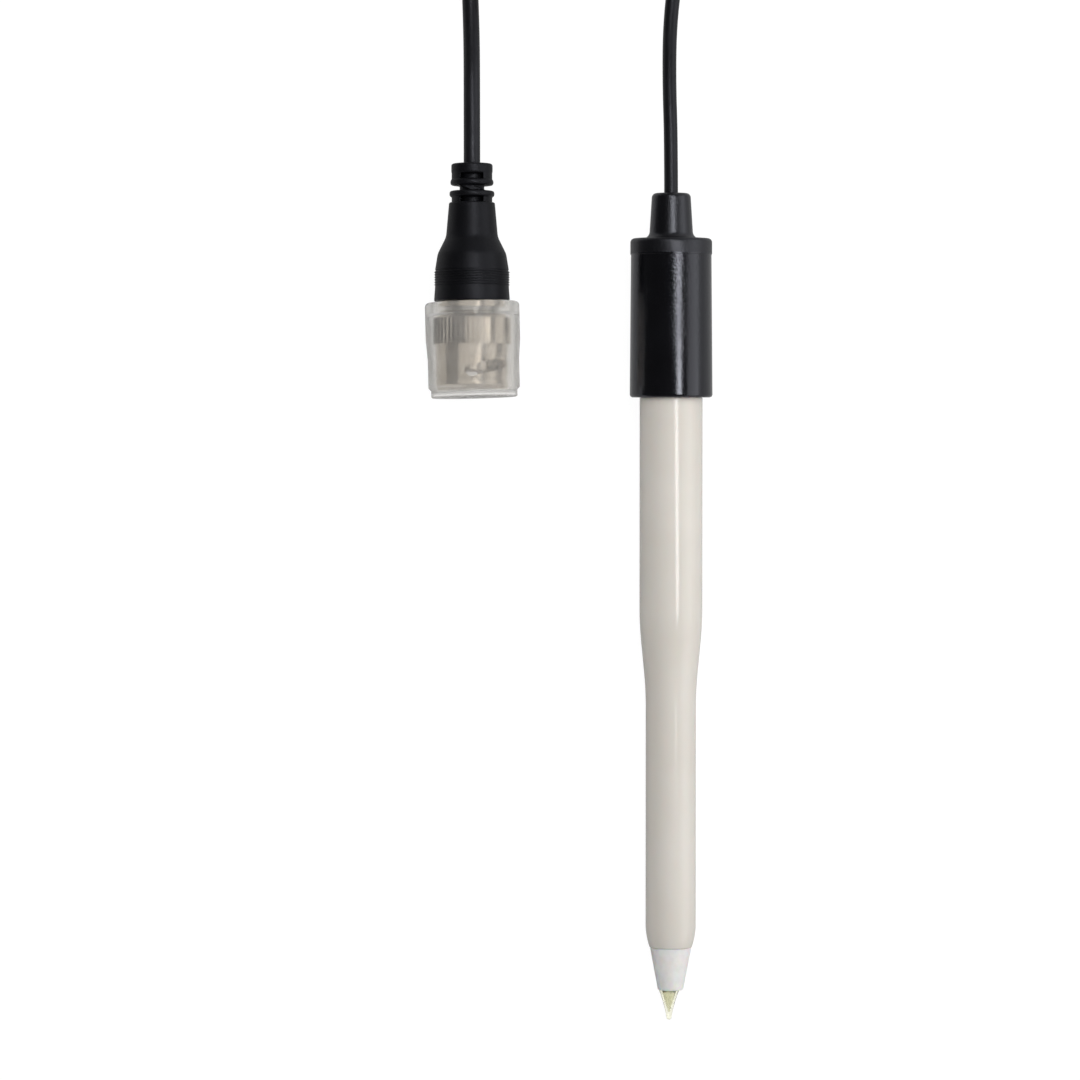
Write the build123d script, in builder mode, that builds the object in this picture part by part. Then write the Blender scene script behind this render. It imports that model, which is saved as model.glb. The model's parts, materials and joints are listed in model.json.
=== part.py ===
from build123d import *
from math import asin, atan2, cos, hypot, pi, radians, sin, tan
import os

# pH electrode: a spear tip probe, its lead, and a bayonet plug under a frosted push-on cover.
# Millimetres. +Z is up. +Y runs along the probe from its tip to its lead.
# The probe lies on the rim of its cap and on its nose, and the plug lies on its cover.

# Fits
seat = 0.03  # radial gap of a glued or pressed joint
running = 0.05  # gap of a turning or sliding joint

# Body tube, measured along the probe from the end of its nose
tube_r = 6.0
lower_tube_r = 4.8
tube_bore_r = 4.8
spigot_r = 5.75  # the end of the tube, let into the cap
lower_bore_r = 3.6
nose_r = 4.05
nose_length = 4.5
taper_start = 49.2
taper_length = 12.6
taper_blend = 70.0
tube_exposed = 105.1

# Porous junction in the nose
junction_length = 8.2
junction_base_r = 3.97
junction_end_r = 2.42
junction_round = 0.45
junction_plug_length = 8.0
inner_ring_start = 20.0
inner_ring_length = 4.0

# Glass: a stem drawn to a hollow spear, set a little to one side
stem_r = 2.0
stem_offset = 0.3
glass_wall = 0.45
spear_length = 5.8
spear_tip_r = 0.5
spear_hollow = 0.17  # how far the spear's flank curves in
tip_wall = 1.6
inner_tip_r = 0.15
fill_top_gap = 12.0

# Silver wires
wire_r = 0.25
coated_wire_r = 0.5
coated_length = 12.0
measuring_wire_start = -6.5
reference_wire_start = 30.0
reference_wire_x = 2.8

# Stopper on the tube's open end
stopper_depth = 8.0
stopper_flange = 1.4
stem_above_stopper = 1.0
wire_above_stem = 0.6
joint_room = 4.4  # from the ends of the wires to the end of the lead's jacket

# Cap, with its cable neck
cap_low_r = 7.9
cap_high_r = 7.68
cap_body_length = 27.2
collar_r = 7.79
collar_length = 3.1
collar_ease = 0.04
rim_round = 0.6
shoulder_round = 0.8
neck_length = 8.6
neck_base_r = 4.2
neck_top_r = 3.67
neck_flare = 1.3
neck_round = 0.9
cavity_r = 5.0
cap_end_wall = 4.0

# Lead
cord_d = 3.0
coil_pitch = 3.05
coil_inner_r = 13.0
coil_turns_wide = 4
coil_layers = 4
coil_x = -17.4
coil_y = 145.0
bundle_round = 1.3
neck_run = 9.0  # straight stretch of lead past the neck
coil_run = 9.0  # straight stretch of lead into the coil
coil_clearance = 0.3
lead_rest = 0.05  # height of the lead above the surface

# Crimp ring and the two leads inside the cap
crimp_ring_r = 2.8
crimp_ring_length = 2.9
jacket_past_ring = 1.0
core_lead_r = 0.6
shield_lead_r = 0.35
lead_gap = 0.05

# Twist tie round the coil
tie_thick = 0.5
tie_width = 4.0
tie_gap = 0.1
tie_side_gap = 0.3
tie_corner = 1.6
tie_tail = 8.0
tie_tail_width = 2.2

# Plug boot, measured from its front face back along the lead
plug_x = -37.96
plug_face_y = 58.3
boot_face_r = 7.23
boot_face_round = 0.3
grip_start = 2.95
grip_length = 2.85
grip_r = 7.17
grip_rings = 5
grip_groove = 0.14
boot_waist_r = 7.03
boot_length = 18.86
boot_end_r = 4.36
boot_shoulder = 9.1
boot_shoulder_r = 6.53
boot_throat = 12.3
boot_throat_r = 4.94
boot_blend = 3.6
boot_end_wall = 1.0  # solid end of the boot behind the first relief gap

# Flex relief: discs joined by webs that change side from gap to gap
relief_core_r = 2.35
relief_gap = 1.05
relief_disc = 1.15
relief_disc_r = [4.28, 4.1]
relief_disc_land = 0.3  # flat left on a disc's edge between its rounds
relief_end_disc = 1.95
relief_end_r = 3.94
relief_end_cover = 0.5  # end disc past the end of the core
relief_side_r = 3.87
relief_window = 4.4
relief_neck_r = 2.95
relief_web_width = 2.6

# Plug metalwork, measured forward from the boot's front face
ferrule_collar_r = 6.3
ferrule_collar = 1.1
ferrule_cup_r = 4.2
ferrule_wall = 0.55
braid_thick = 0.45
post_r = 1.9
post_length = 7.5
post_step = 1.0
core_bore_r = 1.2
rear_shank_r = 3.3
ring_land_r = 3.6
ring_thick = 0.7
ring_outer_r = 5.2
ring_split = 1.6
shank_r = 4.1
body_flange_r = 4.75
body_flange = 1.0
contact_r = 4.03
contact_wall = 0.53
contact_length = 6.2
contact_slots = 4
contact_slot_width = 0.4
contact_slot_length = 5.0
insulator_back = 2.5
insulator_recess = 1.0
socket_wall = 1.05
pin_r = 0.675
pin_collar_r = 0.95
pin_collar = 0.5
pin_recess = 0.6
pin_point = 0.4
core_r = 0.8
gasket_thick = 1.1
washer_thick = 0.5
washer_r = 4.85
spring_height = 1.2
spring_strip = 0.3
nut_travel = 0.8  # how far the nut pulls forward against the spring washer

# Coupling nut
nut_bore_r = 4.95
nut_flange = 1.2
nut_length = 14.3
nut_rear_r = 5.9
nut_rear_slope = 1.3
knurl_root_r = 6.95
knurl_crest_r = 7.25
knurl_length = 4.9
knurl_ridges = 48
ridge_share = 0.9  # of the pitch that a ridge's foot takes
ridge_crest = 0.25  # of its foot that a ridge's crest takes
barrel_r = 6.8
rim_length = 1.2
rim_r = 6.9
rim_groove = 0.4
rim_groove_r = 6.55
rim_chamfer = 0.3
lug_slot = 2.2  # width of the bayonet slots
lug_depth_r = 5.65
ramp_start = 2.9  # back from the nut's front face
ramp_rise = 2.5
ramp_angle = 90.0

# Frosted cover
cover_r = 9.0
cover_small_r = 8.71
cover_lip_r = 8.22
cover_front_gap = 0.3  # from the nut pulled forward to the closed end
cover_mouth_gap = 0.1
cover_mouth_round = 1.5
cover_grip_r = 7.45
cover_grip_length = 2.1
cover_bore_r = 8.0
cover_small_bore_r = 7.7
cover_wide_length = 7.2
cover_slope = 3.7
cover_slope_round = 3.0
cover_lip_length = 1.35
cover_lip_chamfer = 0.5
cover_end_wall = 0.95
cover_end_round = 0.3
cover_lean = 1.5  # degrees that the pushed-on cover sits out of line

os.makedirs("parts", exist_ok=True)

# Places along the probe
taper_end = taper_start + taper_length
nose_arc = ((lower_tube_r - nose_r) ** 2 + nose_length**2) / (2 * (lower_tube_r - nose_r))
tip = -junction_length - spear_length
cap_mouth = tube_exposed
collar_start = cap_mouth + cap_body_length
shoulder = collar_start + collar_length
neck_top = shoulder + neck_length
cavity_top = shoulder - cap_end_wall
cord_r = cord_d / 2
jacket_end = cavity_top - crimp_ring_length - jacket_past_ring
wire_top = jacket_end - joint_room
stem_top = wire_top - wire_above_stem
stopper_top = stem_top - stem_above_stopper
tube_top = stopper_top - stopper_flange
stopper_low = tube_top - stopper_depth

# The probe leans so that the rim of the cap and the nose both touch the surface
rim_s = cap_mouth + rim_round
rim_r_centre = cap_low_r - rim_round
nose_r_centre = lower_tube_r - nose_arc
reach = hypot(rim_s - nose_length, rim_r_centre - nose_r_centre)
slope = atan2(rim_r_centre - nose_r_centre, rim_s - nose_length)
lean = slope + asin((rim_round - nose_arc) / reach)
nose_y = -(neck_top + tip) / 2 * cos(lean)
nose_z = rim_round + rim_r_centre * cos(lean) - rim_s * sin(lean)

# Profiles are drawn on probe: x is the radius and y runs along the axis
probe = Plane(origin=(0, nose_y, nose_z), x_dir=(1, 0, 0), z_dir=(0, -sin(lean), cos(lean)))
probe_axis = Axis(probe.origin, probe.y_dir)
stem = Plane(origin=(-stem_offset, nose_y, nose_z), x_dir=(1, 0, 0), z_dir=probe.z_dir)
stem_axis = Axis(stem.origin, stem.y_dir)


def on_probe(x, along):
    return probe.from_local_coords(Vector(x, along, 0))


def across_probe(along):
    return Plane(origin=on_probe(0, along), x_dir=(1, 0, 0), z_dir=probe.y_dir)


# Places along the plug
plug_z = cover_r
plug_origin = Vector(plug_x, plug_face_y, plug_z)
plug = Plane(origin=plug_origin, x_dir=(1, 0, 0), z_dir=(0, 0, -1))
plug_back = Plane(origin=plug_origin, x_dir=(1, 0, 0), z_dir=(0, 0, 1))
plug_section = Plane(origin=plug_origin, x_dir=(1, 0, 0), z_dir=(0, -1, 0))
plug_axis = Axis(plug_origin, (0, -1, 0))
ring_start = ferrule_collar + running
ring_end = ring_start + ring_thick
nut_rear = ring_end + running
nut_front = nut_rear + nut_length
washer_start = nut_rear + nut_flange + running
spring_start = washer_start + washer_thick + running
flange_start = spring_start + spring_height + running
flange_end = flange_start + body_flange
gasket_end = flange_end + gasket_thick
contact_end = gasket_end + contact_length
pocket_r = contact_r - contact_wall
pocket_start = nut_rear + nut_flange
post_end = post_step + post_length

# Body tube, moulded in white plastic
with BuildPart() as body_tube:
    with BuildSketch(probe):
        with BuildLine():
            TangentArc((lower_tube_r, nose_length), (nose_r, 0), tangent=(0, -1))
            FilletPolyline(
                (lower_tube_r, nose_length),
                (lower_tube_r, taper_start),
                (tube_r, taper_end),
                (tube_r, cap_mouth - seat),
                radius=taper_blend,
            )
            Polyline(
                (tube_r, cap_mouth - seat),
                (spigot_r, cap_mouth - seat),
                (spigot_r, tube_top),
                (tube_bore_r, tube_top),
                (tube_bore_r, taper_end),
                (lower_bore_r, taper_start),
                (lower_bore_r, 0),
                (nose_r, 0),
            )
        make_face()
    revolve(axis=probe_axis)
body_tube.part.label = "body_tube"
export_step(body_tube.part, "parts/body_tube.step")

# Porous junction: a cone outside the nose and a plug inside the bore
with BuildPart() as junction_cone:
    with BuildSketch(probe):
        with BuildLine():
            FilletPolyline(
                (0, -junction_length),
                (junction_end_r, -junction_length),
                (junction_base_r, -running),
                radius=junction_round,
            )
            Polyline(
                (junction_base_r, -running),
                (lower_bore_r - seat, -running),
                (lower_bore_r - seat, junction_plug_length),
                (0, junction_plug_length),
                (0, -junction_length),
            )
        make_face()
    revolve(axis=probe_axis)
    with BuildSketch(across_probe(-junction_length)):
        with Locations((-stem_offset, 0)):
            Circle(stem_r + seat)
    extrude(amount=junction_length + junction_plug_length, mode=Mode.SUBTRACT)
junction_cone.part.label = "junction_cone"
export_step(junction_cone.part, "parts/junction_cone.step")

# Glass stem, closed at the bottom by the pointed pH glass
spear_mid_r = (spear_tip_r + stem_r) / 2 - spear_hollow
spear_mid = (tip + spear_tip_r - junction_length) / 2
with BuildPart() as glass_spear:
    with BuildSketch(stem):
        with BuildLine():
            TangentArc((0, tip), (spear_tip_r, tip + spear_tip_r), tangent=(1, 0))
            ThreePointArc(
                (spear_tip_r, tip + spear_tip_r),
                (spear_mid_r, spear_mid),
                (stem_r, -junction_length),
            )
            Polyline(
                (stem_r, -junction_length),
                (stem_r, stem_top),
                (stem_r - glass_wall, stem_top),
                (stem_r - glass_wall, -junction_length + glass_wall),
                (inner_tip_r, tip + tip_wall),
                (0, tip + tip_wall),
                (0, tip),
            )
        make_face()
    revolve(axis=stem_axis)
glass_spear.part.label = "glass_spear"
export_step(glass_spear.part, "parts/glass_spear.step")

# Buffer that fills the glass
buffer_r = stem_r - glass_wall - seat
with BuildPart() as buffer_fill:
    with BuildSketch(stem):
        with BuildLine():
            Polyline(
                (0, tip + tip_wall + seat),
                (inner_tip_r - seat, tip + tip_wall + seat),
                (buffer_r, -junction_length + glass_wall),
                (buffer_r, stopper_low - fill_top_gap),
                (0, stopper_low - fill_top_gap),
                close=True,
            )
        make_face()
    revolve(axis=stem_axis)
    with BuildSketch(across_probe(measuring_wire_start)):
        with Locations((-stem_offset, 0)):
            Circle(coated_wire_r + seat)
    extrude(amount=coated_length, mode=Mode.SUBTRACT)
    with BuildSketch(across_probe(measuring_wire_start)):
        with Locations((-stem_offset, 0)):
            Circle(wire_r + seat)
    extrude(amount=wire_top - measuring_wire_start, mode=Mode.SUBTRACT)
buffer_fill.part.label = "buffer_fill"
export_step(buffer_fill.part, "parts/buffer_fill.step")

# Silver wire of the measuring half cell
with BuildPart() as measuring_wire:
    with BuildSketch(across_probe(measuring_wire_start)):
        with Locations((-stem_offset, 0)):
            Circle(coated_wire_r)
    extrude(amount=coated_length)
    with BuildSketch(across_probe(measuring_wire_start)):
        with Locations((-stem_offset, 0)):
            Circle(wire_r)
    extrude(amount=wire_top - measuring_wire_start)
measuring_wire.part.label = "measuring_wire"
export_step(measuring_wire.part, "parts/measuring_wire.step")

# Silver wire of the reference half cell
with BuildPart() as reference_wire:
    with BuildSketch(across_probe(reference_wire_start)):
        with Locations((reference_wire_x, 0)):
            Circle(coated_wire_r)
    extrude(amount=coated_length)
    with BuildSketch(across_probe(reference_wire_start)):
        with Locations((reference_wire_x, 0)):
            Circle(wire_r)
    extrude(amount=wire_top - reference_wire_start)
reference_wire.part.label = "reference_wire"
export_step(reference_wire.part, "parts/reference_wire.step")

# Inner porous ring, the second junction
inner_ring_end = inner_ring_start + inner_ring_length
with BuildPart() as inner_junction:
    with BuildSketch(across_probe(inner_ring_start)):
        Circle(lower_bore_r - seat)
        with Locations((-stem_offset, 0)):
            Circle(stem_r + seat, mode=Mode.SUBTRACT)
    extrude(amount=inner_ring_length)
inner_junction.part.label = "inner_junction"
export_step(inner_junction.part, "parts/inner_junction.step")

# Bridge gel between the two junctions
with BuildPart() as bridge_gel:
    with BuildSketch(across_probe(junction_plug_length + seat)):
        Circle(lower_bore_r - seat)
        with Locations((-stem_offset, 0)):
            Circle(stem_r + seat, mode=Mode.SUBTRACT)
    extrude(amount=inner_ring_start - junction_plug_length - 2 * seat)
bridge_gel.part.label = "bridge_gel"
export_step(bridge_gel.part, "parts/bridge_gel.step")

# Reference gel round the stem and the reference wire
gel_low = inner_ring_end + seat
gel_high = stopper_low - seat
with BuildPart() as reference_gel:
    with BuildSketch(probe):
        with BuildLine():
            Polyline(
                (0, gel_low),
                (lower_bore_r - seat, gel_low),
                (lower_bore_r - seat, taper_start),
                (tube_bore_r - seat, taper_end),
                (tube_bore_r - seat, gel_high),
                (0, gel_high),
                close=True,
            )
        make_face()
    revolve(axis=probe_axis)
    with BuildSketch(across_probe(gel_low)):
        with Locations((-stem_offset, 0)):
            Circle(stem_r + seat)
    extrude(amount=gel_high - gel_low, mode=Mode.SUBTRACT)
    with BuildSketch(across_probe(reference_wire_start)):
        with Locations((reference_wire_x, 0)):
            Circle(coated_wire_r + seat)
    extrude(amount=coated_length, mode=Mode.SUBTRACT)
    with BuildSketch(across_probe(reference_wire_start)):
        with Locations((reference_wire_x, 0)):
            Circle(wire_r + seat)
    extrude(amount=gel_high - reference_wire_start, mode=Mode.SUBTRACT)
reference_gel.part.label = "reference_gel"
export_step(reference_gel.part, "parts/reference_gel.step")

# Stopper, flanged over the tube's end
with BuildPart() as tube_stopper:
    with BuildSketch(probe):
        with BuildLine():
            Polyline(
                (0, stopper_low),
                (tube_bore_r - seat, stopper_low),
                (tube_bore_r - seat, tube_top),
                (spigot_r, tube_top),
                (spigot_r, stopper_top),
                (0, stopper_top),
                close=True,
            )
        make_face()
    revolve(axis=probe_axis)
    with BuildSketch(across_probe(stopper_low)):
        with Locations((-stem_offset, 0)):
            Circle(stem_r + seat)
        with Locations((reference_wire_x, 0)):
            Circle(wire_r + seat)
    extrude(amount=stopper_top - stopper_low, mode=Mode.SUBTRACT)
tube_stopper.part.label = "tube_stopper"
export_step(tube_stopper.part, "parts/tube_stopper.step")

# Cap: socket for the tube, cavity for the joints, and the cable neck, in one moulding
socket_r = spigot_r + running
socket_top = stopper_top + running
cord_hole_r = cord_r + running
with BuildPart() as probe_cap:
    with BuildSketch(probe):
        with BuildLine():
            FilletPolyline(
                (socket_r, cap_mouth),
                (cap_low_r, cap_mouth),
                (cap_high_r, collar_start),
                (collar_r, collar_start),
                (collar_r, shoulder),
                (neck_base_r, shoulder),
                (neck_top_r, neck_top),
                (cord_hole_r, neck_top),
                radius=[rim_round, collar_ease, collar_ease, shoulder_round, neck_flare, neck_round],
            )
            Polyline(
                (cord_hole_r, neck_top),
                (cord_hole_r, cavity_top),
                (cavity_r, cavity_top),
                (cavity_r, socket_top),
                (socket_r, socket_top),
                (socket_r, cap_mouth),
            )
        make_face()
    revolve(axis=probe_axis)
probe_cap.part.label = "probe_cap"
export_step(probe_cap.part, "parts/probe_cap.step")

# Crimp ring on the lead's jacket, against the cap's end wall
with BuildPart() as crimp_ring:
    with BuildSketch(across_probe(cavity_top - running - crimp_ring_length)):
        Circle(crimp_ring_r)
        Circle(cord_r + seat, mode=Mode.SUBTRACT)
    extrude(amount=crimp_ring_length)
crimp_ring.part.label = "crimp_ring"
export_step(crimp_ring.part, "parts/crimp_ring.step")

# Core of the lead, soldered to the measuring wire
core_top = on_probe(0, jacket_end - lead_gap)
core_foot = on_probe(-stem_offset, wire_top + lead_gap)
with BuildPart() as core_lead:
    with BuildLine() as core_run:
        Line(core_top, core_foot)
    with BuildSketch(Plane(origin=core_top, z_dir=core_foot - core_top)):
        Circle(core_lead_r)
    sweep()
core_lead.part.label = "core_lead"
export_step(core_lead.part, "parts/core_lead.step")

# Shield of the lead, soldered to the reference wire
shield_x = core_lead_r + shield_lead_r + 2 * lead_gap
shield_top = on_probe(shield_x, jacket_end - lead_gap)
shield_foot = on_probe(reference_wire_x, wire_top + lead_gap)
with BuildPart() as shield_lead:
    with BuildLine() as shield_run:
        Line(shield_top, shield_foot)
    with BuildSketch(Plane(origin=shield_top, z_dir=shield_foot - shield_top)):
        Circle(shield_lead_r)
    sweep()
shield_lead.part.label = "shield_lead"
export_step(shield_lead.part, "parts/shield_lead.step")

# The coil of spare lead, laid flat past the far ends of the probe and the plug
coil_outer_r = coil_inner_r + (coil_turns_wide - 1) * coil_pitch
coil_base = tie_thick + tie_gap
coil_height = (coil_layers - 1) * coil_pitch + cord_d
first_layer_z = coil_base + cord_r
top_layer_z = first_layer_z + (coil_layers - 1) * coil_pitch


def bend_radii(points):
    radii = []
    for before, corner, after in zip(points, points[1:], points[2:]):
        into, out = corner - before, after - corner
        turn = radians(into.get_angle(out))
        radii.append(0.45 * min(into.length, out.length) / tan(turn / 2))
    return radii


# Lead from inside the cap down to the surface and into the coil's lowest turn
coil_side_x = coil_x + coil_outer_r
resting_z = cord_r + lead_rest
probe_route = [
    on_probe(0, jacket_end),
    on_probe(0, neck_top + neck_run),
    Vector(-0.35, 100, 7.4),
    Vector(-0.1, 112.5, 3.4),
    Vector(1.5, 124.5, resting_z),
    Vector(coil_side_x, coil_y - coil_run, first_layer_z),
    Vector(coil_side_x, coil_y, first_layer_z),
]
probe_radii = bend_radii(probe_route)
with BuildPart() as cord_probe_run:
    with BuildLine() as probe_path:
        FilletPolyline(*probe_route, radius=probe_radii)
    with BuildSketch(Plane(origin=probe_route[0], z_dir=probe_route[1] - probe_route[0])):
        Circle(cord_r)
    sweep()
cord_probe_run.part.label = "cord_probe_run"
export_step(cord_probe_run.part, "parts/cord_probe_run.step")

# Coil, as the outer shape of all its turns
with BuildPart() as cord_coil:
    with BuildSketch(Plane.XY.offset(coil_base)):
        with Locations((coil_x, coil_y)):
            Circle(coil_outer_r + cord_r)
            Circle(coil_inner_r - cord_r, mode=Mode.SUBTRACT)
    extrude(amount=coil_height)
    fillet(cord_coil.edges().filter_by(GeomType.CIRCLE), radius=bundle_round)
cord_coil.part.label = "cord_coil"
export_step(cord_coil.part, "parts/cord_coil.step")

# Lead from the coil's top turn, half way round its outside, down, and up to the plug
outside_r = coil_outer_r + cord_d + coil_clearance
half_step = 11.25
jacket_end_y = plug_face_y + post_end + lead_gap
leaving = [
    (coil_outer_r, top_layer_z),
    (coil_outer_r + 2.0, top_layer_z),
    (outside_r, top_layer_z - 0.8),
    (outside_r, top_layer_z - 2.6),
    (outside_r, top_layer_z - 4.6),
    (outside_r, top_layer_z - 6.6),
    (outside_r, top_layer_z - 8.3),
    (outside_r, cord_r + coil_clearance),
]
plug_route = [Vector(coil_side_x, coil_y, top_layer_z)]
for step, (turn_r, height) in enumerate(leaving):
    angle = radians(half_step * (2 * step + 1))
    corner_r = turn_r / cos(radians(half_step))
    plug_route.append(Vector(coil_x + corner_r * cos(angle), coil_y + corner_r * sin(angle), height))
plug_route += [
    Vector(-42.1, 138.5, resting_z),
    Vector(-38.7, 124.5, 1.6),
    Vector(-38.1, 110.5, 4.0),
    Vector(plug_x, 97, plug_z),
    Vector(plug_x, jacket_end_y, plug_z),
]
plug_radii = bend_radii(plug_route)
with BuildPart() as cord_plug_run:
    with BuildLine() as plug_path:
        FilletPolyline(*plug_route, radius=plug_radii)
    with BuildSketch(Plane(origin=plug_route[0], z_dir=plug_route[1] - plug_route[0])):
        Circle(cord_r)
    sweep()
cord_plug_run.part.label = "cord_plug_run"
export_step(cord_plug_run.part, "parts/cord_plug_run.step")

# Twist tie round the bundle, its tail turned in to the middle of the coil
bundle_width = (coil_turns_wide - 1) * coil_pitch + cord_d
bundle_mid_r = (coil_inner_r + coil_outer_r) / 2
tie_plane = Plane(
    origin=(coil_x, coil_y - bundle_mid_r, coil_base + coil_height / 2), x_dir=(0, 1, 0), z_dir=(1, 0, 0)
)
tie_inner_width = bundle_width + 2 * tie_side_gap
tie_inner_height = coil_height + 2 * tie_gap
with BuildPart() as cord_tie:
    with BuildSketch(tie_plane):
        RectangleRounded(
            tie_inner_width + 2 * tie_thick, tie_inner_height + 2 * tie_thick, tie_corner + tie_thick
        )
        RectangleRounded(tie_inner_width, tie_inner_height, tie_corner, mode=Mode.SUBTRACT)
    extrude(amount=tie_width / 2, both=True)
    with BuildSketch(tie_plane):
        with Locations((tie_inner_width / 2 + tie_thick / 2, 0)):
            Rectangle(tie_tail, tie_tail_width, align=(Align.MIN, Align.CENTER))
    extrude(amount=tie_thick, both=True)
cord_tie.part.label = "cord_tie"
export_step(cord_tie.part, "parts/cord_tie.step")

# Boot: one moulding with the grip rings, the flex relief and the room for the ferrule
relief_start = boot_length
first_disc = relief_start + relief_gap
second_disc = first_disc + relief_disc + relief_gap
end_disc = second_disc + relief_disc + relief_gap
relief_end = end_disc + relief_end_disc
ferrule_r = post_r + braid_thick + ferrule_wall
core_start = boot_length - boot_end_wall
core_end = relief_end - relief_end_cover
grip_pitch = grip_length / (grip_rings + 1)
with BuildPart() as relief_boot:
    with BuildSketch(plug_back):
        with BuildLine():
            FilletPolyline(
                (0, 0),
                (boot_face_r, 0),
                (boot_waist_r, grip_start),
                radius=boot_face_round,
            )
            Polyline(
                (boot_waist_r, grip_start),
                (grip_r, grip_start),
                (grip_r, grip_start + grip_length),
                (boot_waist_r, grip_start + grip_length),
            )
            FilletPolyline(
                (boot_waist_r, grip_start + grip_length),
                (boot_shoulder_r, boot_shoulder),
                (boot_throat_r, boot_throat),
                (boot_end_r, boot_length),
                (0, boot_length),
                radius=[boot_blend, boot_blend, boot_face_round],
            )
            Line((0, boot_length), (0, 0))
        make_face()
        with Locations((grip_r, grip_start + grip_length / 2)):
            with GridLocations(0, grip_pitch, 1, grip_rings):
                Rectangle(2 * grip_groove, grip_groove, mode=Mode.SUBTRACT)
        with BuildLine():
            Polyline(
                (0, core_start),
                (relief_core_r, core_start),
                (relief_core_r, core_end),
                (0, core_end),
                close=True,
            )
        make_face()
        for low, disc_r in zip((first_disc, second_disc), relief_disc_r):
            with Locations((0, low + relief_disc / 2)):
                Rectangle(disc_r, relief_disc, align=(Align.MIN, Align.CENTER))
        with Locations((0, end_disc + relief_end_disc / 2)):
            Rectangle(relief_end_r, relief_end_disc, align=(Align.MIN, Align.CENTER))
    revolve(axis=Axis(plug_origin, (0, 1, 0)))
    disc_edges = relief_boot.edges().filter_by(GeomType.CIRCLE).filter_by(
        lambda edge: edge.center().Y > plug_face_y + first_disc - 0.01 and edge.radius > relief_side_r
    )
    fillet(disc_edges, radius=(relief_disc - relief_disc_land) / 2)
    for low in (relief_start, end_disc - relief_gap):
        with BuildSketch(Plane(origin=plug_origin + Vector(0, low, 0), x_dir=(1, 0, 0), z_dir=(0, 1, 0))):
            Circle(relief_side_r)
            Rectangle(relief_window, 2 * relief_side_r, mode=Mode.SUBTRACT)
        extrude(amount=relief_gap)
    web_low = first_disc + relief_disc
    with BuildSketch(Plane(origin=plug_origin, x_dir=(1, 0, 0), z_dir=(0, 0, 1))):
        with BuildLine():
            Polyline(
                (-relief_neck_r, web_low + relief_gap),
                (relief_web_width - relief_neck_r, web_low + relief_gap),
                (relief_neck_r, web_low),
                (relief_neck_r - relief_web_width, web_low),
                close=True,
            )
        make_face()
    extrude(amount=relief_neck_r, both=True)
    with BuildSketch(Plane(origin=plug_origin, x_dir=(1, 0, 0), z_dir=(0, 1, 0))):
        Circle(ferrule_cup_r + seat)
    extrude(amount=post_step + ferrule_wall + 2 * running, mode=Mode.SUBTRACT)
    with BuildSketch(Plane(origin=plug_origin, x_dir=(1, 0, 0), z_dir=(0, 1, 0))):
        Circle(ferrule_r + seat)
    extrude(amount=post_end, mode=Mode.SUBTRACT)
    with BuildSketch(Plane(origin=plug_origin, x_dir=(1, 0, 0), z_dir=(0, 1, 0))):
        Circle(cord_hole_r)
    extrude(amount=relief_end, mode=Mode.SUBTRACT)
relief_boot.part.label = "relief_boot"
export_step(relief_boot.part, "parts/relief_boot.step")

# Plug body: crimp post, shank, flange and slotted outer contact
with BuildPart() as plug_body:
    with BuildSketch(plug):
        with BuildLine():
            Polyline(
                (core_bore_r, -post_end),
                (post_r, -post_end),
                (post_r, -post_step),
                (rear_shank_r, -post_step),
                (rear_shank_r, ferrule_collar),
                (ring_land_r, ferrule_collar),
                (ring_land_r, nut_rear - running),
                (shank_r, nut_rear - running),
                (shank_r, flange_start),
                (body_flange_r, flange_start),
                (body_flange_r, flange_end),
                (contact_r, flange_end),
                (contact_r, contact_end - contact_wall / 2),
                (contact_r - contact_wall / 2, contact_end),
                (pocket_r, contact_end),
                (pocket_r, pocket_start),
                (core_bore_r, pocket_start),
                close=True,
            )
        make_face()
    revolve(axis=plug_axis)
    with BuildSketch(plug_section.offset(contact_end - contact_slot_length)):
        with PolarLocations(pocket_r, contact_slots, start_angle=45):
            Rectangle(3 * contact_wall, contact_slot_width)
    extrude(amount=contact_slot_length, mode=Mode.SUBTRACT)
plug_body.part.label = "plug_body"
export_step(plug_body.part, "parts/plug_body.step")

# Crimp ferrule: a sleeve over the braid, a cup on the shank and the collar that shows
ferrule_bore_r = ferrule_r - ferrule_wall
with BuildPart() as crimp_ferrule:
    with BuildSketch(plug):
        with BuildLine():
            Polyline(
                (ferrule_bore_r, -post_end + running),
                (ferrule_r, -post_end + running),
                (ferrule_r, -post_step - ferrule_wall - running),
                (ferrule_cup_r, -post_step - ferrule_wall - running),
                (ferrule_cup_r, running),
                (ferrule_collar_r, running),
                (ferrule_collar_r, ferrule_collar),
                (rear_shank_r + seat, ferrule_collar),
                (rear_shank_r + seat, -post_step - running),
                (ferrule_bore_r, -post_step - running),
                close=True,
            )
        make_face()
    revolve(axis=plug_axis)
crimp_ferrule.part.label = "crimp_ferrule"
export_step(crimp_ferrule.part, "parts/crimp_ferrule.step")

# Braid of the lead, spread over the post and under the ferrule
with BuildPart() as plug_braid:
    with BuildSketch(plug_section.offset(-post_end + running)):
        Circle(ferrule_bore_r - seat)
        Circle(post_r + seat, mode=Mode.SUBTRACT)
    extrude(amount=post_length - 4 * running)
plug_braid.part.label = "plug_braid"
export_step(plug_braid.part, "parts/plug_braid.step")

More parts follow.
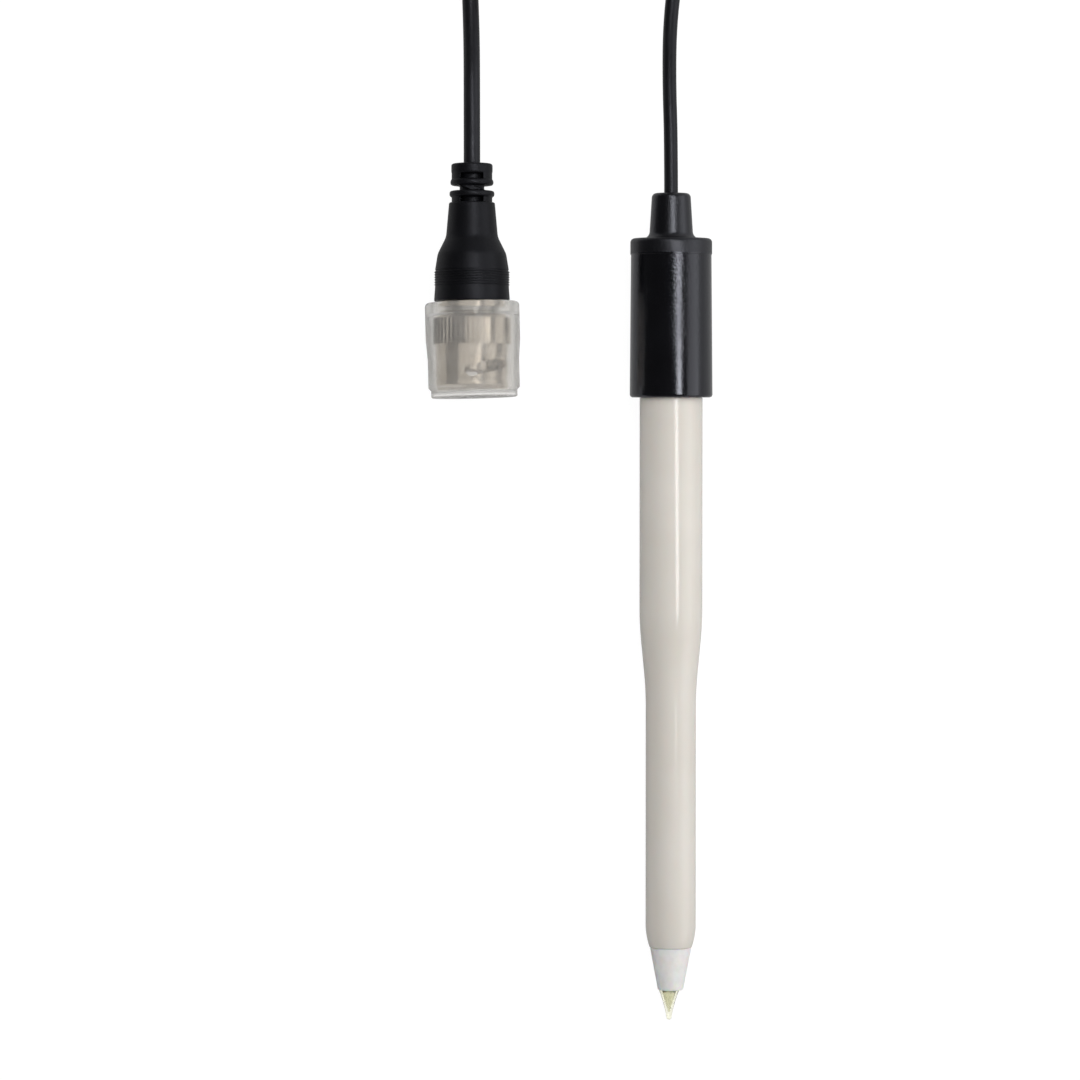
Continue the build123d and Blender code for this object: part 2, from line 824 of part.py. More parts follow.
# Insulator: a disc behind and a sleeve round the pin
insulator_start = pocket_start + seat
insulator_end = contact_end - insulator_recess
sleeve_bore_r = pocket_r - socket_wall
with BuildPart() as insulator:
    with BuildSketch(plug):
        with BuildLine():
            Polyline(
                (pin_r + seat, insulator_start),
                (pocket_r - seat, insulator_start),
                (pocket_r - seat, insulator_end),
                (sleeve_bore_r, insulator_end),
                (sleeve_bore_r, insulator_start + insulator_back),
                (pin_r + seat, insulator_start + insulator_back),
                close=True,
            )
        make_face()
    revolve(axis=plug_axis)
insulator.part.label = "insulator"
export_step(insulator.part, "parts/insulator.step")

# Centre pin, its collar behind the insulator
pin_start = insulator_start - seat - pin_collar
pin_end = contact_end - pin_recess
with BuildPart() as centre_pin:
    with BuildSketch(plug):
        with BuildLine():
            Polyline(
                (0, pin_start),
                (pin_collar_r, pin_start),
                (pin_collar_r, pin_start + pin_collar),
                (pin_r, pin_start + pin_collar),
                (pin_r, pin_end - pin_point),
                (pin_r / 2, pin_end),
                (0, pin_end),
                close=True,
            )
        make_face()
    revolve(axis=plug_axis)
centre_pin.part.label = "centre_pin"
export_step(centre_pin.part, "parts/centre_pin.step")

# Insulated core of the lead, from the jacket's end to the pin
with BuildPart() as plug_core:
    with BuildSketch(plug_section.offset(-post_end)):
        Circle(core_r)
    extrude(amount=post_end + pin_start)
plug_core.part.label = "plug_core"
export_step(plug_core.part, "parts/plug_core.step")

# Face gasket, on the contact against the flange
with BuildPart() as face_gasket:
    with BuildSketch(plug_section.offset(flange_end)):
        Circle(body_flange_r)
        Circle(contact_r + seat, mode=Mode.SUBTRACT)
    extrude(amount=gasket_thick)
face_gasket.part.label = "face_gasket"
export_step(face_gasket.part, "parts/face_gasket.step")

# Retaining ring, split so that it snaps on behind the nut
with BuildPart() as retaining_ring:
    with BuildSketch(plug_section.offset(ring_start)):
        Circle(ring_outer_r)
        Circle(ring_land_r + seat, mode=Mode.SUBTRACT)
        with Locations((0, -ring_outer_r)):
            Rectangle(ring_split, ring_outer_r, mode=Mode.SUBTRACT)
    extrude(amount=ring_thick)
retaining_ring.part.label = "retaining_ring"
export_step(retaining_ring.part, "parts/retaining_ring.step")

# Thrust washer, between the nut's inner flange and the spring washer
with BuildPart() as thrust_washer:
    with BuildSketch(plug_section.offset(washer_start)):
        Circle(washer_r)
        Circle(shank_r + running, mode=Mode.SUBTRACT)
    extrude(amount=washer_thick)
thrust_washer.part.label = "thrust_washer"
export_step(thrust_washer.part, "parts/thrust_washer.step")

# Spring washer: a flat ring bowed across its width
bow = spring_height - spring_strip
with BuildPart() as spring_washer:
    with BuildSketch(plug):
        with BuildLine():
            crest = ThreePointArc(
                (-washer_r, spring_start),
                (0, spring_start + bow),
                (washer_r, spring_start),
            )
            foot = ThreePointArc(
                (-washer_r, spring_start + spring_strip),
                (0, spring_start + spring_height),
                (washer_r, spring_start + spring_strip),
            )
            Line(crest @ 0, foot @ 0)
            Line(crest @ 1, foot @ 1)
        make_face()
    extrude(amount=washer_r, both=True)
    with BuildSketch(plug_section.offset(spring_start)):
        Circle(washer_r)
        Circle(shank_r + running, mode=Mode.SUBTRACT)
    extrude(amount=spring_height, mode=Mode.INTERSECT)
spring_washer.part.label = "spring_washer"
export_step(spring_washer.part, "parts/spring_washer.step")

# Cutter for one bayonet slot: a helical ramp through the wall and the round seat at its end
ramp_origin = plug_origin - Vector(0, nut_front - ramp_start, 0)
wall_mid_r = (nut_bore_r + barrel_r) / 2
wall_reach = knurl_crest_r - nut_bore_r
with BuildPart() as slot_cutter:
    with BuildLine():
        ramp = Helix(
            pitch=ramp_rise * 360 / ramp_angle,
            height=ramp_rise,
            radius=wall_mid_r,
            center=ramp_origin,
            direction=(0, 1, 0),
        )
    with BuildSketch(Plane(origin=ramp @ 0, x_dir=(0, 0, 1), z_dir=ramp % 0)):
        Rectangle(wall_reach, lug_slot)
    sweep(is_frenet=True)
    for place in (ramp @ 0, ramp @ 1):
        outward = place - Vector(plug_x, place.Y, plug_z)
        with BuildSketch(Plane(origin=place, z_dir=outward)):
            Circle(lug_slot / 2)
        extrude(amount=wall_reach / 2, both=True)

# Coupling nut: knurl, barrel, front rim, inner flange and two bayonet slots
knurl_start = nut_rear + nut_rear_slope
knurl_end = knurl_start + knurl_length
rim_start = nut_front - rim_length
ridge_half = ridge_share * pi * knurl_root_r / knurl_ridges
ridge_rise = knurl_crest_r - knurl_root_r
with BuildPart() as coupling_nut:
    with BuildSketch(plug):
        with BuildLine():
            Polyline(
                (shank_r + running, nut_rear),
                (nut_rear_r, nut_rear),
                (knurl_root_r, knurl_start),
                (knurl_root_r, knurl_end),
                (barrel_r, knurl_end),
                (barrel_r, rim_start - rim_groove),
                (rim_groove_r, rim_start - rim_groove),
                (rim_groove_r, rim_start),
                (rim_r, rim_start),
                (rim_r, nut_front - rim_chamfer),
                (rim_r - rim_chamfer, nut_front),
                (nut_bore_r + rim_chamfer, nut_front),
                (nut_bore_r, nut_front - rim_chamfer),
                (nut_bore_r, nut_rear + nut_flange),
                (shank_r + running, nut_rear + nut_flange),
                close=True,
            )
        make_face()
    revolve(axis=plug_axis)
    with BuildSketch(plug_section.offset(knurl_start)):
        with PolarLocations(knurl_root_r, knurl_ridges):
            Polygon(
                (-ridge_rise, -ridge_half),
                (ridge_rise, -ridge_half * ridge_crest),
                (ridge_rise, ridge_half * ridge_crest),
                (-ridge_rise, ridge_half),
                align=None,
            )
    extrude(amount=knurl_length)
    with BuildSketch(plug_section.offset(nut_front - ramp_start)):
        with PolarLocations(0, 2, start_angle=90):
            Rectangle(lug_depth_r, lug_slot, align=(Align.MIN, Align.CENTER))
    extrude(amount=ramp_start, mode=Mode.SUBTRACT)
    add(slot_cutter.part, mode=Mode.SUBTRACT)
    add(slot_cutter.part.rotate(plug_axis, 180), mode=Mode.SUBTRACT)
coupling_nut.part.label = "coupling_nut"
export_step(coupling_nut.part, "parts/coupling_nut.step")

# Frosted cover, closed in front and turned in at its mouth to grip the nut
cover_front = nut_front + nut_travel + cover_front_gap
cover_length = cover_front - cover_mouth_gap + cover_end_wall
cover_small_start = cover_wide_length + cover_slope
cover_lip_start = cover_length - cover_lip_length
lean_angle = radians(cover_lean)
cover_plane = Plane(
    origin=plug_origin - Vector(0, cover_mouth_gap, 0),
    x_dir=(cos(lean_angle), sin(lean_angle), 0),
    z_dir=(0, 0, -1),
)
with BuildPart() as plug_cover:
    with BuildSketch(cover_plane):
        with BuildLine():
            FilletPolyline(
                (cover_grip_r, 0),
                (cover_r, 0),
                (cover_r, cover_wide_length),
                (cover_small_r, cover_small_start),
                (cover_small_r, cover_lip_start - cover_lip_chamfer),
                (cover_lip_r, cover_lip_start),
                (cover_lip_r, cover_length),
                (0, cover_length),
                radius=[cover_mouth_round] + [cover_slope_round] * 2 + [cover_end_round] * 3,
            )
            Polyline(
                (0, cover_length),
                (0, cover_length - cover_end_wall),
                (cover_small_bore_r, cover_length - cover_end_wall),
                (cover_small_bore_r, cover_small_start),
                (cover_bore_r, cover_wide_length),
                (cover_bore_r, cover_grip_length + cover_bore_r - cover_grip_r),
                (cover_grip_r, cover_grip_length),
                (cover_grip_r, 0),
            )
        make_face()
    revolve(axis=Axis(cover_plane.origin, cover_plane.y_dir))
plug_cover.part.label = "plug_cover"
export_step(plug_cover.part, "parts/plug_cover.step")

print("lean of the probe in degrees:", round(lean * 180 / pi, 3))
for name, route, radii, tube in (
    ("probe run", probe_route, probe_radii, (cord_probe_run, probe_path)),
    ("plug run", plug_route, plug_radii, (cord_plug_run, plug_path)),
):
    solid, path = tube
    length = sum(edge.length for edge in path.edges())
    print(name, "length", round(length, 1), "radii", [round(r, 1) for r in radii])
    print("  runs", [round((b - a).length, 1) for a, b in zip(route, route[1:])])
    print("  volume over section times length", round(solid.part.volume / (pi * cord_r**2 * length), 5))
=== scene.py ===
import json
from math import atan2, cos, hypot, pi, radians, sin, sqrt, tan
from types import SimpleNamespace as Sizes

import bmesh
import bpy
from mathutils import Matrix, Vector, noise


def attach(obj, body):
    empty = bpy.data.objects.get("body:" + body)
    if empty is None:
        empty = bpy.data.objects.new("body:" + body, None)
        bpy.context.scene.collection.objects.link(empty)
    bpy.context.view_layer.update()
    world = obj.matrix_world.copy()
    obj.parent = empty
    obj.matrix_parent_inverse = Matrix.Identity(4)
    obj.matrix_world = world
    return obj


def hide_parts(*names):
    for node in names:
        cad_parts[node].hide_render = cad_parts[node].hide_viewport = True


# Blender part of the pH electrode: finishes, the moulded and turned forms, the lead and the light.
# Named sizes are millimetres, as on a drawing, and angles are degrees. The scene is in metres,
# and so are the lead's length and the places and sizes of the lights.
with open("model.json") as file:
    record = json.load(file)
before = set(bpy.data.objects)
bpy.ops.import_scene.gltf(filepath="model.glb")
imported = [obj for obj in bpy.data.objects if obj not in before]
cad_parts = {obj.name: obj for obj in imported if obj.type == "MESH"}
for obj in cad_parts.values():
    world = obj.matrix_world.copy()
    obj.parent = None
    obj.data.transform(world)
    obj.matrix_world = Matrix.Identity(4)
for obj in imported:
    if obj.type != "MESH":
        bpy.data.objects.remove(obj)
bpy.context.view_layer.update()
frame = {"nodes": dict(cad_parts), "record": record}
nodes = frame["nodes"]
mounts = {mount["name"]: mount for mount in frame["record"]["mounts"]}
mm = 0.001

scene = bpy.context.scene
scene.view_settings.view_transform = "Standard"
scene.cycles.sample_clamp_indirect = 3.0


# Places

def placeAlong(origin, direction, scale=mm):
    # local Z runs along the axis, local X stays sideways, and local sizes are millimetres
    along = Vector(direction).normalized()
    side = Vector((1, 0, 0))
    side = (side - along * side.dot(along)).normalized()
    place = Matrix((side, along.cross(side), along)).transposed() * scale
    place = place.to_4x4()
    place.translation = origin
    return place


gripStation = 85.1  # where the record's tube mount sits, from the end of the nose
nutFront = 16.2  # where the record's bayonet mount sits, from the boot's front face
gripAxis = Vector(mounts["tube_grip"]["axis"])
noseEnd = Vector(mounts["tube_grip"]["pos_m"]) + gripAxis * gripStation * mm
probePlace = placeAlong(noseEnd, -gripAxis)
plugAxis = Vector(mounts["plug_bayonet"]["axis"])
bootFace = Vector(mounts["plug_bayonet"]["pos_m"]) - plugAxis * nutFront * mm
plugPlace = placeAlong(bootFace, plugAxis)


def onProbe(x, along):
    return probePlace @ Vector((x, 0, along))


# Mesh tools

def eased(points, steps=7):
    # points are (radius, along, round): each corner with a round becomes an arc
    outline = []
    for index, point in enumerate(points):
        corner = Vector(point[:2])
        if len(point) < 3:
            outline.append(tuple(corner))
            continue
        before = Vector(points[index - 1][:2]) - corner
        after = Vector(points[index + 1][:2]) - corner
        half = before.angle(after) / 2
        reach = min(point[2] / tan(half), before.length * 0.499, after.length * 0.499)
        radius = reach * tan(half)
        start = corner + before.normalized() * reach
        end = corner + after.normalized() * reach
        middle = corner + (before.normalized() + after.normalized()).normalized() * radius / sin(half)
        for step in range(steps + 1):
            outline.append(tuple(middle + (start - middle).slerp(end - middle, step / steps) * radius))
    return outline


unplaced = Matrix.Identity(4)
sharpAngle = radians(32)  # faces that meet at more than this keep a hard edge between them


def finishMesh(work, name, place=unplaced):
    bmesh.ops.recalc_face_normals(work, faces=work.faces)
    work.transform(place)
    mesh = bpy.data.meshes.new(name)
    work.to_mesh(mesh)
    work.free()
    mesh.shade_smooth()
    mesh.set_sharp_from_angle(angle=sharpAngle)
    piece = bpy.data.objects.new(name, mesh)
    scene.collection.objects.link(piece)
    return piece


def ringFaces(work, rings):
    pairs = list(zip(rings, rings[1:]))
    if len(rings[0]) > 1:
        pairs.append((rings[-1], rings[0]))
    for first, second in pairs:
        count = max(len(first), len(second))
        for index in range(count):
            after = (index + 1) % count
            corners = [
                first[index % len(first)],
                first[after % len(first)],
                second[after % len(second)],
                second[index % len(second)],
            ]
            work.faces.new(list(dict.fromkeys(corners)))


def turnedRings(work, outline, segments, move=None):
    # an outline that starts on the axis ends there too, and any other closes on itself
    rings = []
    for radius, along in outline:
        if radius < 1e-6:
            rings.append([work.verts.new((0, 0, along))])
            continue
        ring = []
        for index in range(segments):
            angle = 2 * pi * index / segments
            point = Vector((radius * cos(angle), radius * sin(angle), along))
            ring.append(work.verts.new(move(point, radius) if move else point))
        rings.append(ring)
    ringFaces(work, rings)


def turned(name, outline, place=unplaced, segments=144, move=None):
    work = bmesh.new()
    turnedRings(work, outline, segments, move)
    return finishMesh(work, name, place)


def swept(work, rings, closed=False):
    # rings of points joined in order, then round to the first, or else with a face over each end
    made = [[work.verts.new(point) for point in ring] for ring in rings]
    pairs = list(zip(made, made[1:]))
    if closed:
        pairs.append((made[-1], made[0]))
    for first, second in pairs:
        for index in range(len(first)):
            after = (index + 1) % len(first)
            work.faces.new((first[index], first[after], second[after], second[index]))
    if not closed:
        work.faces.new(made[0])
        work.faces.new(made[-1])


def applied(piece):
    # the evaluated mesh in place of the modifiers
    depsgraph = bpy.context.evaluated_depsgraph_get()
    mesh = bpy.data.meshes.new_from_object(piece.evaluated_get(depsgraph), depsgraph=depsgraph)
    piece.modifiers.clear()
    piece.data = mesh
    return piece


def joined(keep, *others):
    # one object from several, each already in its place
    work = bmesh.new()
    for piece in (keep, *others):
        work.from_mesh(piece.data)
    together = keep.data.copy()
    work.to_mesh(together)
    work.free()
    keep.data = together
    for piece in others:
        bpy.data.objects.remove(piece)
    return keep


def settle(piece, body, slot, *replaced):
    # body, record slot with its finish, and the CAD nodes that a piece stands for
    piece.data.materials.clear()
    piece.data.materials.append(slotFinishes[slot])
    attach(piece, body)
    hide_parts(*replaced)


# Materials

def linear(hexColour):
    channels = [int(hexColour[place:place + 2], 16) / 255 for place in (1, 3, 5)]
    return tuple(c / 12.92 if c <= 0.04045 else ((c + 0.055) / 1.055) ** 2.4 for c in channels) + (1,)


def addNode(tree, kind, inputs=(), **settings):
    # inputs are pairs of a socket and what goes in: a value or another node's output
    node = tree.nodes.new(kind)
    for name, value in settings.items():
        setattr(node, name, value)
    for socket, value in inputs:
        if isinstance(value, bpy.types.NodeSocket):
            tree.links.new(value, node.inputs[socket])
        else:
            node.inputs[socket].default_value = value
    return node


def blank(name, **shader):
    material = bpy.data.materials.new(name)
    material.use_nodes = True
    tree = material.node_tree
    tree.nodes.clear()
    names = {"specular": "Specular IOR Level", "transmission": "Transmission Weight", "ior": "IOR",
             "metallic": "Metallic", "subsurface": "Subsurface Weight", "subsurfaceScale": "Subsurface Scale",
             "tint": "Specular Tint"}
    surface = addNode(tree, "ShaderNodeBsdfPrincipled", [(names[key], value) for key, value in shader.items()])
    addNode(tree, "ShaderNodeOutputMaterial", [("Surface", surface.outputs[0])])
    return material, tree, surface


def grainNoise(tree, size, detail=3.0, stretch=(1, 1, 1)):
    # noise whose grains are size millimetres across, stretched along the object's axes
    where = addNode(tree, "ShaderNodeTexCoord").outputs["Object"]
    scale = addNode(tree, "ShaderNodeMapping", [("Vector", where), ("Scale", stretch)]).outputs[0]
    return addNode(tree, "ShaderNodeTexNoise", [("Vector", scale), ("Scale", 1 / (size * mm)),
                                               ("Detail", detail)]).outputs["Fac"]


def spreadOf(tree, grain, low, high):
    # noise lies between about 0.3 and 0.7, and is spread here from low to high
    return addNode(tree, "ShaderNodeMapRange", [("Value", grain), ("From Min", 0.3), ("From Max", 0.7),
                                                ("To Min", low), ("To Max", high)]).outputs[0]


def twoTone(tree, grain, first, second):
    # a colour that drifts between two hex values as the grain does
    mix = addNode(tree, "ShaderNodeMix", data_type="RGBA")
    tree.links.new(spreadOf(tree, grain, 0, 1), mix.inputs["Factor"])
    mix.inputs["A"].default_value = linear(first)
    mix.inputs["B"].default_value = linear(second)
    return next(output for output in mix.outputs if output.type == "RGBA")


def dress(tree, surface, colour, rough, grain, height, strength=1.0):
    # the shader's colour and roughness, and a bump of height mm that follows the grain
    bump = addNode(tree, "ShaderNodeBump", [("Height", grain), ("Distance", height * mm), ("Strength", strength)])
    for socket, source in (("Base Color", colour), ("Roughness", rough), ("Normal", bump.outputs[0])):
        tree.links.new(source, surface.inputs[socket])


def finish(name, colours, rough, grain, height, drift=6.0, stretch=(1, 1, 1), **shader):
    # colours drift between two hex values over drift mm, and roughness and bump follow a fine grain
    material, tree, surface = blank(name, **shader)
    fine = grainNoise(tree, grain, stretch=stretch)
    wide = grainNoise(tree, drift, 2.0)
    dress(tree, surface, twoTone(tree, wide, *colours), spreadOf(tree, fine, *rough), fine, height)
    return material


def stationOf(tree, low, high):
    # 0 to 1 between two stations along the probe, which lies nearly along Y
    where = addNode(tree, "ShaderNodeTexCoord").outputs["Object"]
    along = addNode(tree, "ShaderNodeSeparateXYZ", [("Vector", where)]).outputs["Y"]
    return addNode(tree, "ShaderNodeMapRange", [("Value", along), ("From Min", onProbe(0, low).y),
                                                ("From Max", onProbe(0, high).y)]).outputs[0]


coolTint = (0.88, 0.9, 1.0, 1)  # carbon black plastics shine a little blue

# White PBT, injection moulded in a polished tool: a hard, thin highlight and a warm, even white
whitePbt = finish("mouldedWhitePbt", ("#dfd9d0", "#e4dfd7"), (0.12, 0.18), 1.6, 0.004, drift=14, specular=0.42,
                  subsurface=0.06, subsurfaceScale=1.2 * mm)

# Porous PTFE, sintered and turned: dull, slightly grainy, no highlight
porousPtfe = finish("sinteredPtfe", ("#ecebe8", "#f2f1ef"), (0.6, 0.8), 0.3, 0.02, drift=1.2, specular=0.3,
                    subsurface=0.4, subsurfaceScale=1.0 * mm)

# pH sensitive glass, flame drawn: clear with a faint yellow green body and a soft, wavy surface
drawnGlass = finish("flameDrawnGlass", ("#fcfbe4", "#fdfceb"), (0.05, 0.12), 0.9, 0.006, drift=3, ior=1.5,
                    transmission=0.92)

# Buffer solution: a clear liquid
bufferLiquid = finish("bufferLiquid", ("#f8f8f0", "#fafaf4"), (0.02, 0.05), 2.0, 0.001, ior=1.33, transmission=0.95)

# Silver wire, its end grey with silver chloride
silverWire = finish("chloridedSilver", ("#8d8a88", "#d9d6d0"), (0.3, 0.45), 0.2, 0.004, drift=3, metallic=1.0)

# Potassium chloride gel: thick, cloudy and slightly wet
saltGel = finish("saltGel", ("#dfe3e2", "#eef0ef"), (0.2, 0.35), 1.4, 0.01, ior=1.35, transmission=0.5)

# Butyl rubber stopper, compression moulded: dull grey
butylRubber = finish("mouldedButylRubber", ("#4a4b4e", "#58595c"), (0.6, 0.75), 0.3, 0.012)

# Nickel plated steel ring, pressed
platedRing = finish("platedSteelRing", ("#b9b6b0", "#c9c6c0"), (0.25, 0.4), 0.3, 0.004, metallic=1.0)

# Natural polythene round the core, extruded: milky and waxy
corePolythene = finish("extrudedPolythene", ("#d5d6d2", "#e4e5e1"), (0.35, 0.45), 0.4, 0.003, subsurface=0.2,
                       subsurfaceScale=0.5 * mm)

# Soft PVC jacket, extruded: black with a satin sheen and long shallow waves
cordPvc = finish("extrudedBlackPvc", ("#111113", "#18181b"), (0.36, 0.46), 0.5, 0.012, stretch=(1, 0.35, 1),
                 specular=0.4, tint=coolTint)

# PVC coated twist tie: black, slightly glossy
tiePvc = finish("coatedTwistTie", ("#151517", "#1e1e21"), (0.35, 0.5), 0.4, 0.02)

# Soft PVC boot, moulded over the lead: black, softer sheen than the cap, lightly dusty
bootPvc = finish("mouldedSoftPvc", ("#09090b", "#0e0e11"), (0.4, 0.54), 0.3, 0.014, drift=4, specular=0.28,
                 tint=coolTint)

# PTFE insulator of the plug, turned: white and waxy
insulatorPtfe = finish("turnedPtfe", ("#e9e9e6", "#f2f2f0"), (0.4, 0.5), 0.3, 0.003, subsurface=0.2,
                       subsurfaceScale=0.5 * mm)

# Gold plated contact pin: warm and bright
goldPin = finish("goldPlatedPin", ("#d9a94f", "#e6bd6a"), (0.12, 0.22), 0.2, 0.001, metallic=1.0)

# Silicone gasket, moulded: dull red brown
gasketSilicone = finish("mouldedSilicone", ("#8c3b2c", "#9a4736"), (0.5, 0.65), 0.2, 0.006)

# Spring washer, hardened steel
springSteel = finish("hardenedSpringSteel", ("#a7a5a1", "#b8b6b2"), (0.22, 0.34), 0.2, 0.002, metallic=1.0)


def mouldedAbs():
    # Black ABS, moulded: the body from a polished part of the tool, spotted with fine orange peel that
    # breaks up the highlight, and the collar from a blasted part that leaves it dull
    spec = Sizes(collarStart=132.2, collarFull=132.5, neckStart=135.6, neckFull=136.4, smooth=106.0, peel=118.0,
                 bodyRough=(0.12, 0.2), dullRough=(0.36, 0.44), neckRough=0.3, grain=0.4, drift=7.0, height=0.05,
                 strength=(0.2, 1.0))
    material, tree, surface = blank("mouldedBlackAbs", specular=0.75, tint=coolTint)
    fine = grainNoise(tree, spec.grain, 4.0)
    wide = grainNoise(tree, spec.drift, 2.0)
    collar = stationOf(tree, spec.collarStart, spec.collarFull)
    neck = stationOf(tree, spec.neckStart, spec.neckFull)
    body = spreadOf(tree, fine, *spec.bodyRough)
    dull = spreadOf(tree, fine, *spec.dullRough)
    upper = addNode(tree, "ShaderNodeMix", [("Factor", collar), (2, body), (3, dull)])
    rough = addNode(tree, "ShaderNodeMix", [("Factor", neck), (2, upper.outputs[0]), (3, spec.neckRough)])
    peel = stationOf(tree, spec.smooth, spec.peel)
    strength = addNode(tree, "ShaderNodeMapRange", [("Value", peel), ("To Min", spec.strength[0]),
                                                    ("To Max", spec.strength[1])])
    dress(tree, surface, twoTone(tree, wide, "#09090b", "#0d0d10"), rough.outputs[0], fine, spec.height,
          strength.outputs[0])
    return material


def turnedNickel():
    # Nickel on turned brass: warm, bright, with the tool's fine rings still under the plating
    spec = Sizes(ring=0.09, drift=3.0, height=0.0025, rough=(0.16, 0.28))
    material, tree, surface = blank("nickelPlatedBrass", metallic=1.0)
    where = addNode(tree, "ShaderNodeTexCoord").outputs["Object"]
    along = addNode(tree, "ShaderNodeSeparateXYZ", [("Vector", where)]).outputs["Y"]
    rings = addNode(tree, "ShaderNodeTexNoise", [("W", along), ("Scale", 1 / (spec.ring * mm)), ("Detail", 2.0)],
                    noise_dimensions="1D").outputs["Fac"]
    wide = grainNoise(tree, spec.drift)
    dress(tree, surface, twoTone(tree, wide, "#bdb2a4", "#d0c8bc"), spreadOf(tree, wide, *spec.rough), rings,
          spec.height)
    return material


def frostedPolythene():
    # Low density polythene, blow moulded thin: milky, so metal that touches it shows and the rest blurs
    spec = Sizes(grain=0.5, drift=5.0, height=0.002, rough=(0.2, 0.26), milk=0.14)
    material, tree, surface = blank("frostedPolythene", transmission=0.88, ior=1.2, specular=0.1)
    fine = grainNoise(tree, spec.grain)
    colour = twoTone(tree, grainNoise(tree, spec.drift, 2.0), "#f8f7f4", "#fcfbf9")
    dress(tree, surface, colour, spreadOf(tree, fine, *spec.rough), fine, spec.height)
    milk = addNode(tree, "ShaderNodeBsdfTranslucent", [("Color", colour)])
    cloudy = addNode(tree, "ShaderNodeMixShader", [(0, spec.milk), (1, surface.outputs[0]), (2, milk.outputs[0])])
    output = next(node for node in tree.nodes if node.type == "OUTPUT_MATERIAL")
    tree.links.new(cloudy.outputs[0], output.inputs["Surface"])
    return material


blackAbs = mouldedAbs()
nickel = turnedNickel()
frosted = frostedPolythene()
slotFinishes = {
    "tube_plastic": whitePbt, "porous_plastic": porousPtfe, "ph_glass": drawnGlass, "gel": saltGel,
    "silver": silverWire, "stopper_rubber": butylRubber, "cap_plastic": blackAbs, "crimp_metal": platedRing,
    "core_plastic": corePolythene, "cord_jacket": cordPvc, "tie_plastic": tiePvc, "boot_plastic": bootPvc,
    "plated_metal": nickel, "insulator_plastic": insulatorPtfe, "pin_metal": goldPin,
    "gasket_rubber": gasketSilicone, "spring_metal": springSteel, "cover_plastic": frosted,
}
for node in nodes.values():
    for place in node.material_slots:
        place.material = slotFinishes[place.material.name]
nodes["buffer_fill"].material_slots[0].material = bufferLiquid
print("materials made:", len(bpy.data.materials))


# Body tube, cap, junction and glass

tube = Sizes(radius=6.0, lowerRadius=4.8, bore=4.8, lowerBore=3.6, nose=4.05, noseLength=4.5, taperStart=49.2,
             taperEnd=61.8, blend=70.0, spigot=5.75, shoulder=105.07, top=120.1, edge=0.12)


def tubeOutline(spec):
    rise = spec.lowerRadius - spec.nose
    arc = (rise ** 2 + spec.noseLength ** 2) / (2 * rise)
    steps = 14
    nose = []
    for step in range(1, steps):
        along = spec.noseLength * step / steps
        nose.append((spec.lowerRadius - arc + sqrt(arc ** 2 - (spec.noseLength - along) ** 2), along))
    return eased([
        (spec.lowerBore, 0),
        (spec.nose, 0, spec.edge),
        *nose,
        (spec.lowerRadius, spec.noseLength),
        (spec.lowerRadius, spec.taperStart, spec.blend),
        (spec.radius, spec.taperEnd, spec.blend),
        (spec.radius, spec.shoulder, spec.edge),
        (spec.spigot, spec.shoulder),
        (spec.spigot, spec.top),
        (spec.bore, spec.top),
        (spec.bore, spec.taperEnd),
        (spec.lowerBore, spec.taperStart),
    ], steps=16)


bodyTube = turned("whiteBodyTube", tubeOutline(tube), probePlace, 160)
settle(bodyTube, "electrode", "tube_plastic", "body_tube")

cap = Sizes(mouth=105.1, socket=5.8, lowRadius=7.9, highRadius=7.68, collarStart=132.3, collar=7.79, shoulder=135.4,
            neckBase=4.2, neckTop=3.67, top=144.0, rim=0.6, ease=0.04, shoulderRound=0.8, flare=1.3, neckRound=0.9,
            cordHole=1.55, holeRound=0.15, cavity=5.0, cavityTop=131.4, socketTop=121.55)
blackCap = turned("blackProbeCap", eased([
    (cap.socket, cap.mouth),
    (cap.lowRadius, cap.mouth, cap.rim),
    (cap.highRadius, cap.collarStart, cap.ease),
    (cap.collar, cap.collarStart, cap.ease),
    (cap.collar, cap.shoulder, cap.shoulderRound),
    (cap.neckBase, cap.shoulder, cap.flare),
    (cap.neckTop, cap.top, cap.neckRound),
    (cap.cordHole, cap.top, cap.holeRound),
    (cap.cordHole, cap.cavityTop),
    (cap.cavity, cap.cavityTop),
    (cap.cavity, cap.socketTop),
    (cap.socket, cap.socketTop),
], steps=9), probePlace, 160)
settle(blackCap, "electrode", "cap_plastic", "probe_cap")

cone = Sizes(base=3.97, end=2.42, length=8.2, round=0.45, gap=0.05, plug=3.57, plugLength=8.0, hole=2.03, offset=0.3,
             roughness=0.035, grain=0.9)


def coneSurface(point, radius):
    # the hole sits to one side, and the skin outside the nose is a little uneven
    if radius <= cone.hole + 1e-6:
        return point - Vector((cone.offset, 0, 0))
    if point.z > -2 * cone.gap or radius < cone.end - cone.round:
        return point
    uneven = noise.noise(point / cone.grain) * cone.roughness
    return Vector((point.x * (1 + uneven / radius), point.y * (1 + uneven / radius), point.z))


def coneOutline(spec):
    lower = eased([
        (spec.hole, -spec.length),
        (spec.end, -spec.length, spec.round),
        (spec.base, -spec.gap),
    ], steps=6)
    start = Vector(lower[-2])
    end = Vector(lower[-1])
    steps = 26
    flank = [tuple(start.lerp(end, step / steps)) for step in range(1, steps + 1)]
    return lower[:-1] + flank + [
        (spec.plug, -spec.gap),
        (spec.plug, spec.plugLength),
        (spec.hole, spec.plugLength),
    ]


porousCone = turned("porousCone", coneOutline(cone), probePlace, 128, coneSurface)
settle(porousCone, "electrode", "porous_plastic", "junction_cone")

glass = Sizes(radius=2.0, wall=0.45, offset=0.3, start=-8.2, tip=-14.0, tipRadius=0.5, hollow=0.17, tipWall=1.6,
              innerTip=0.15, top=122.5)


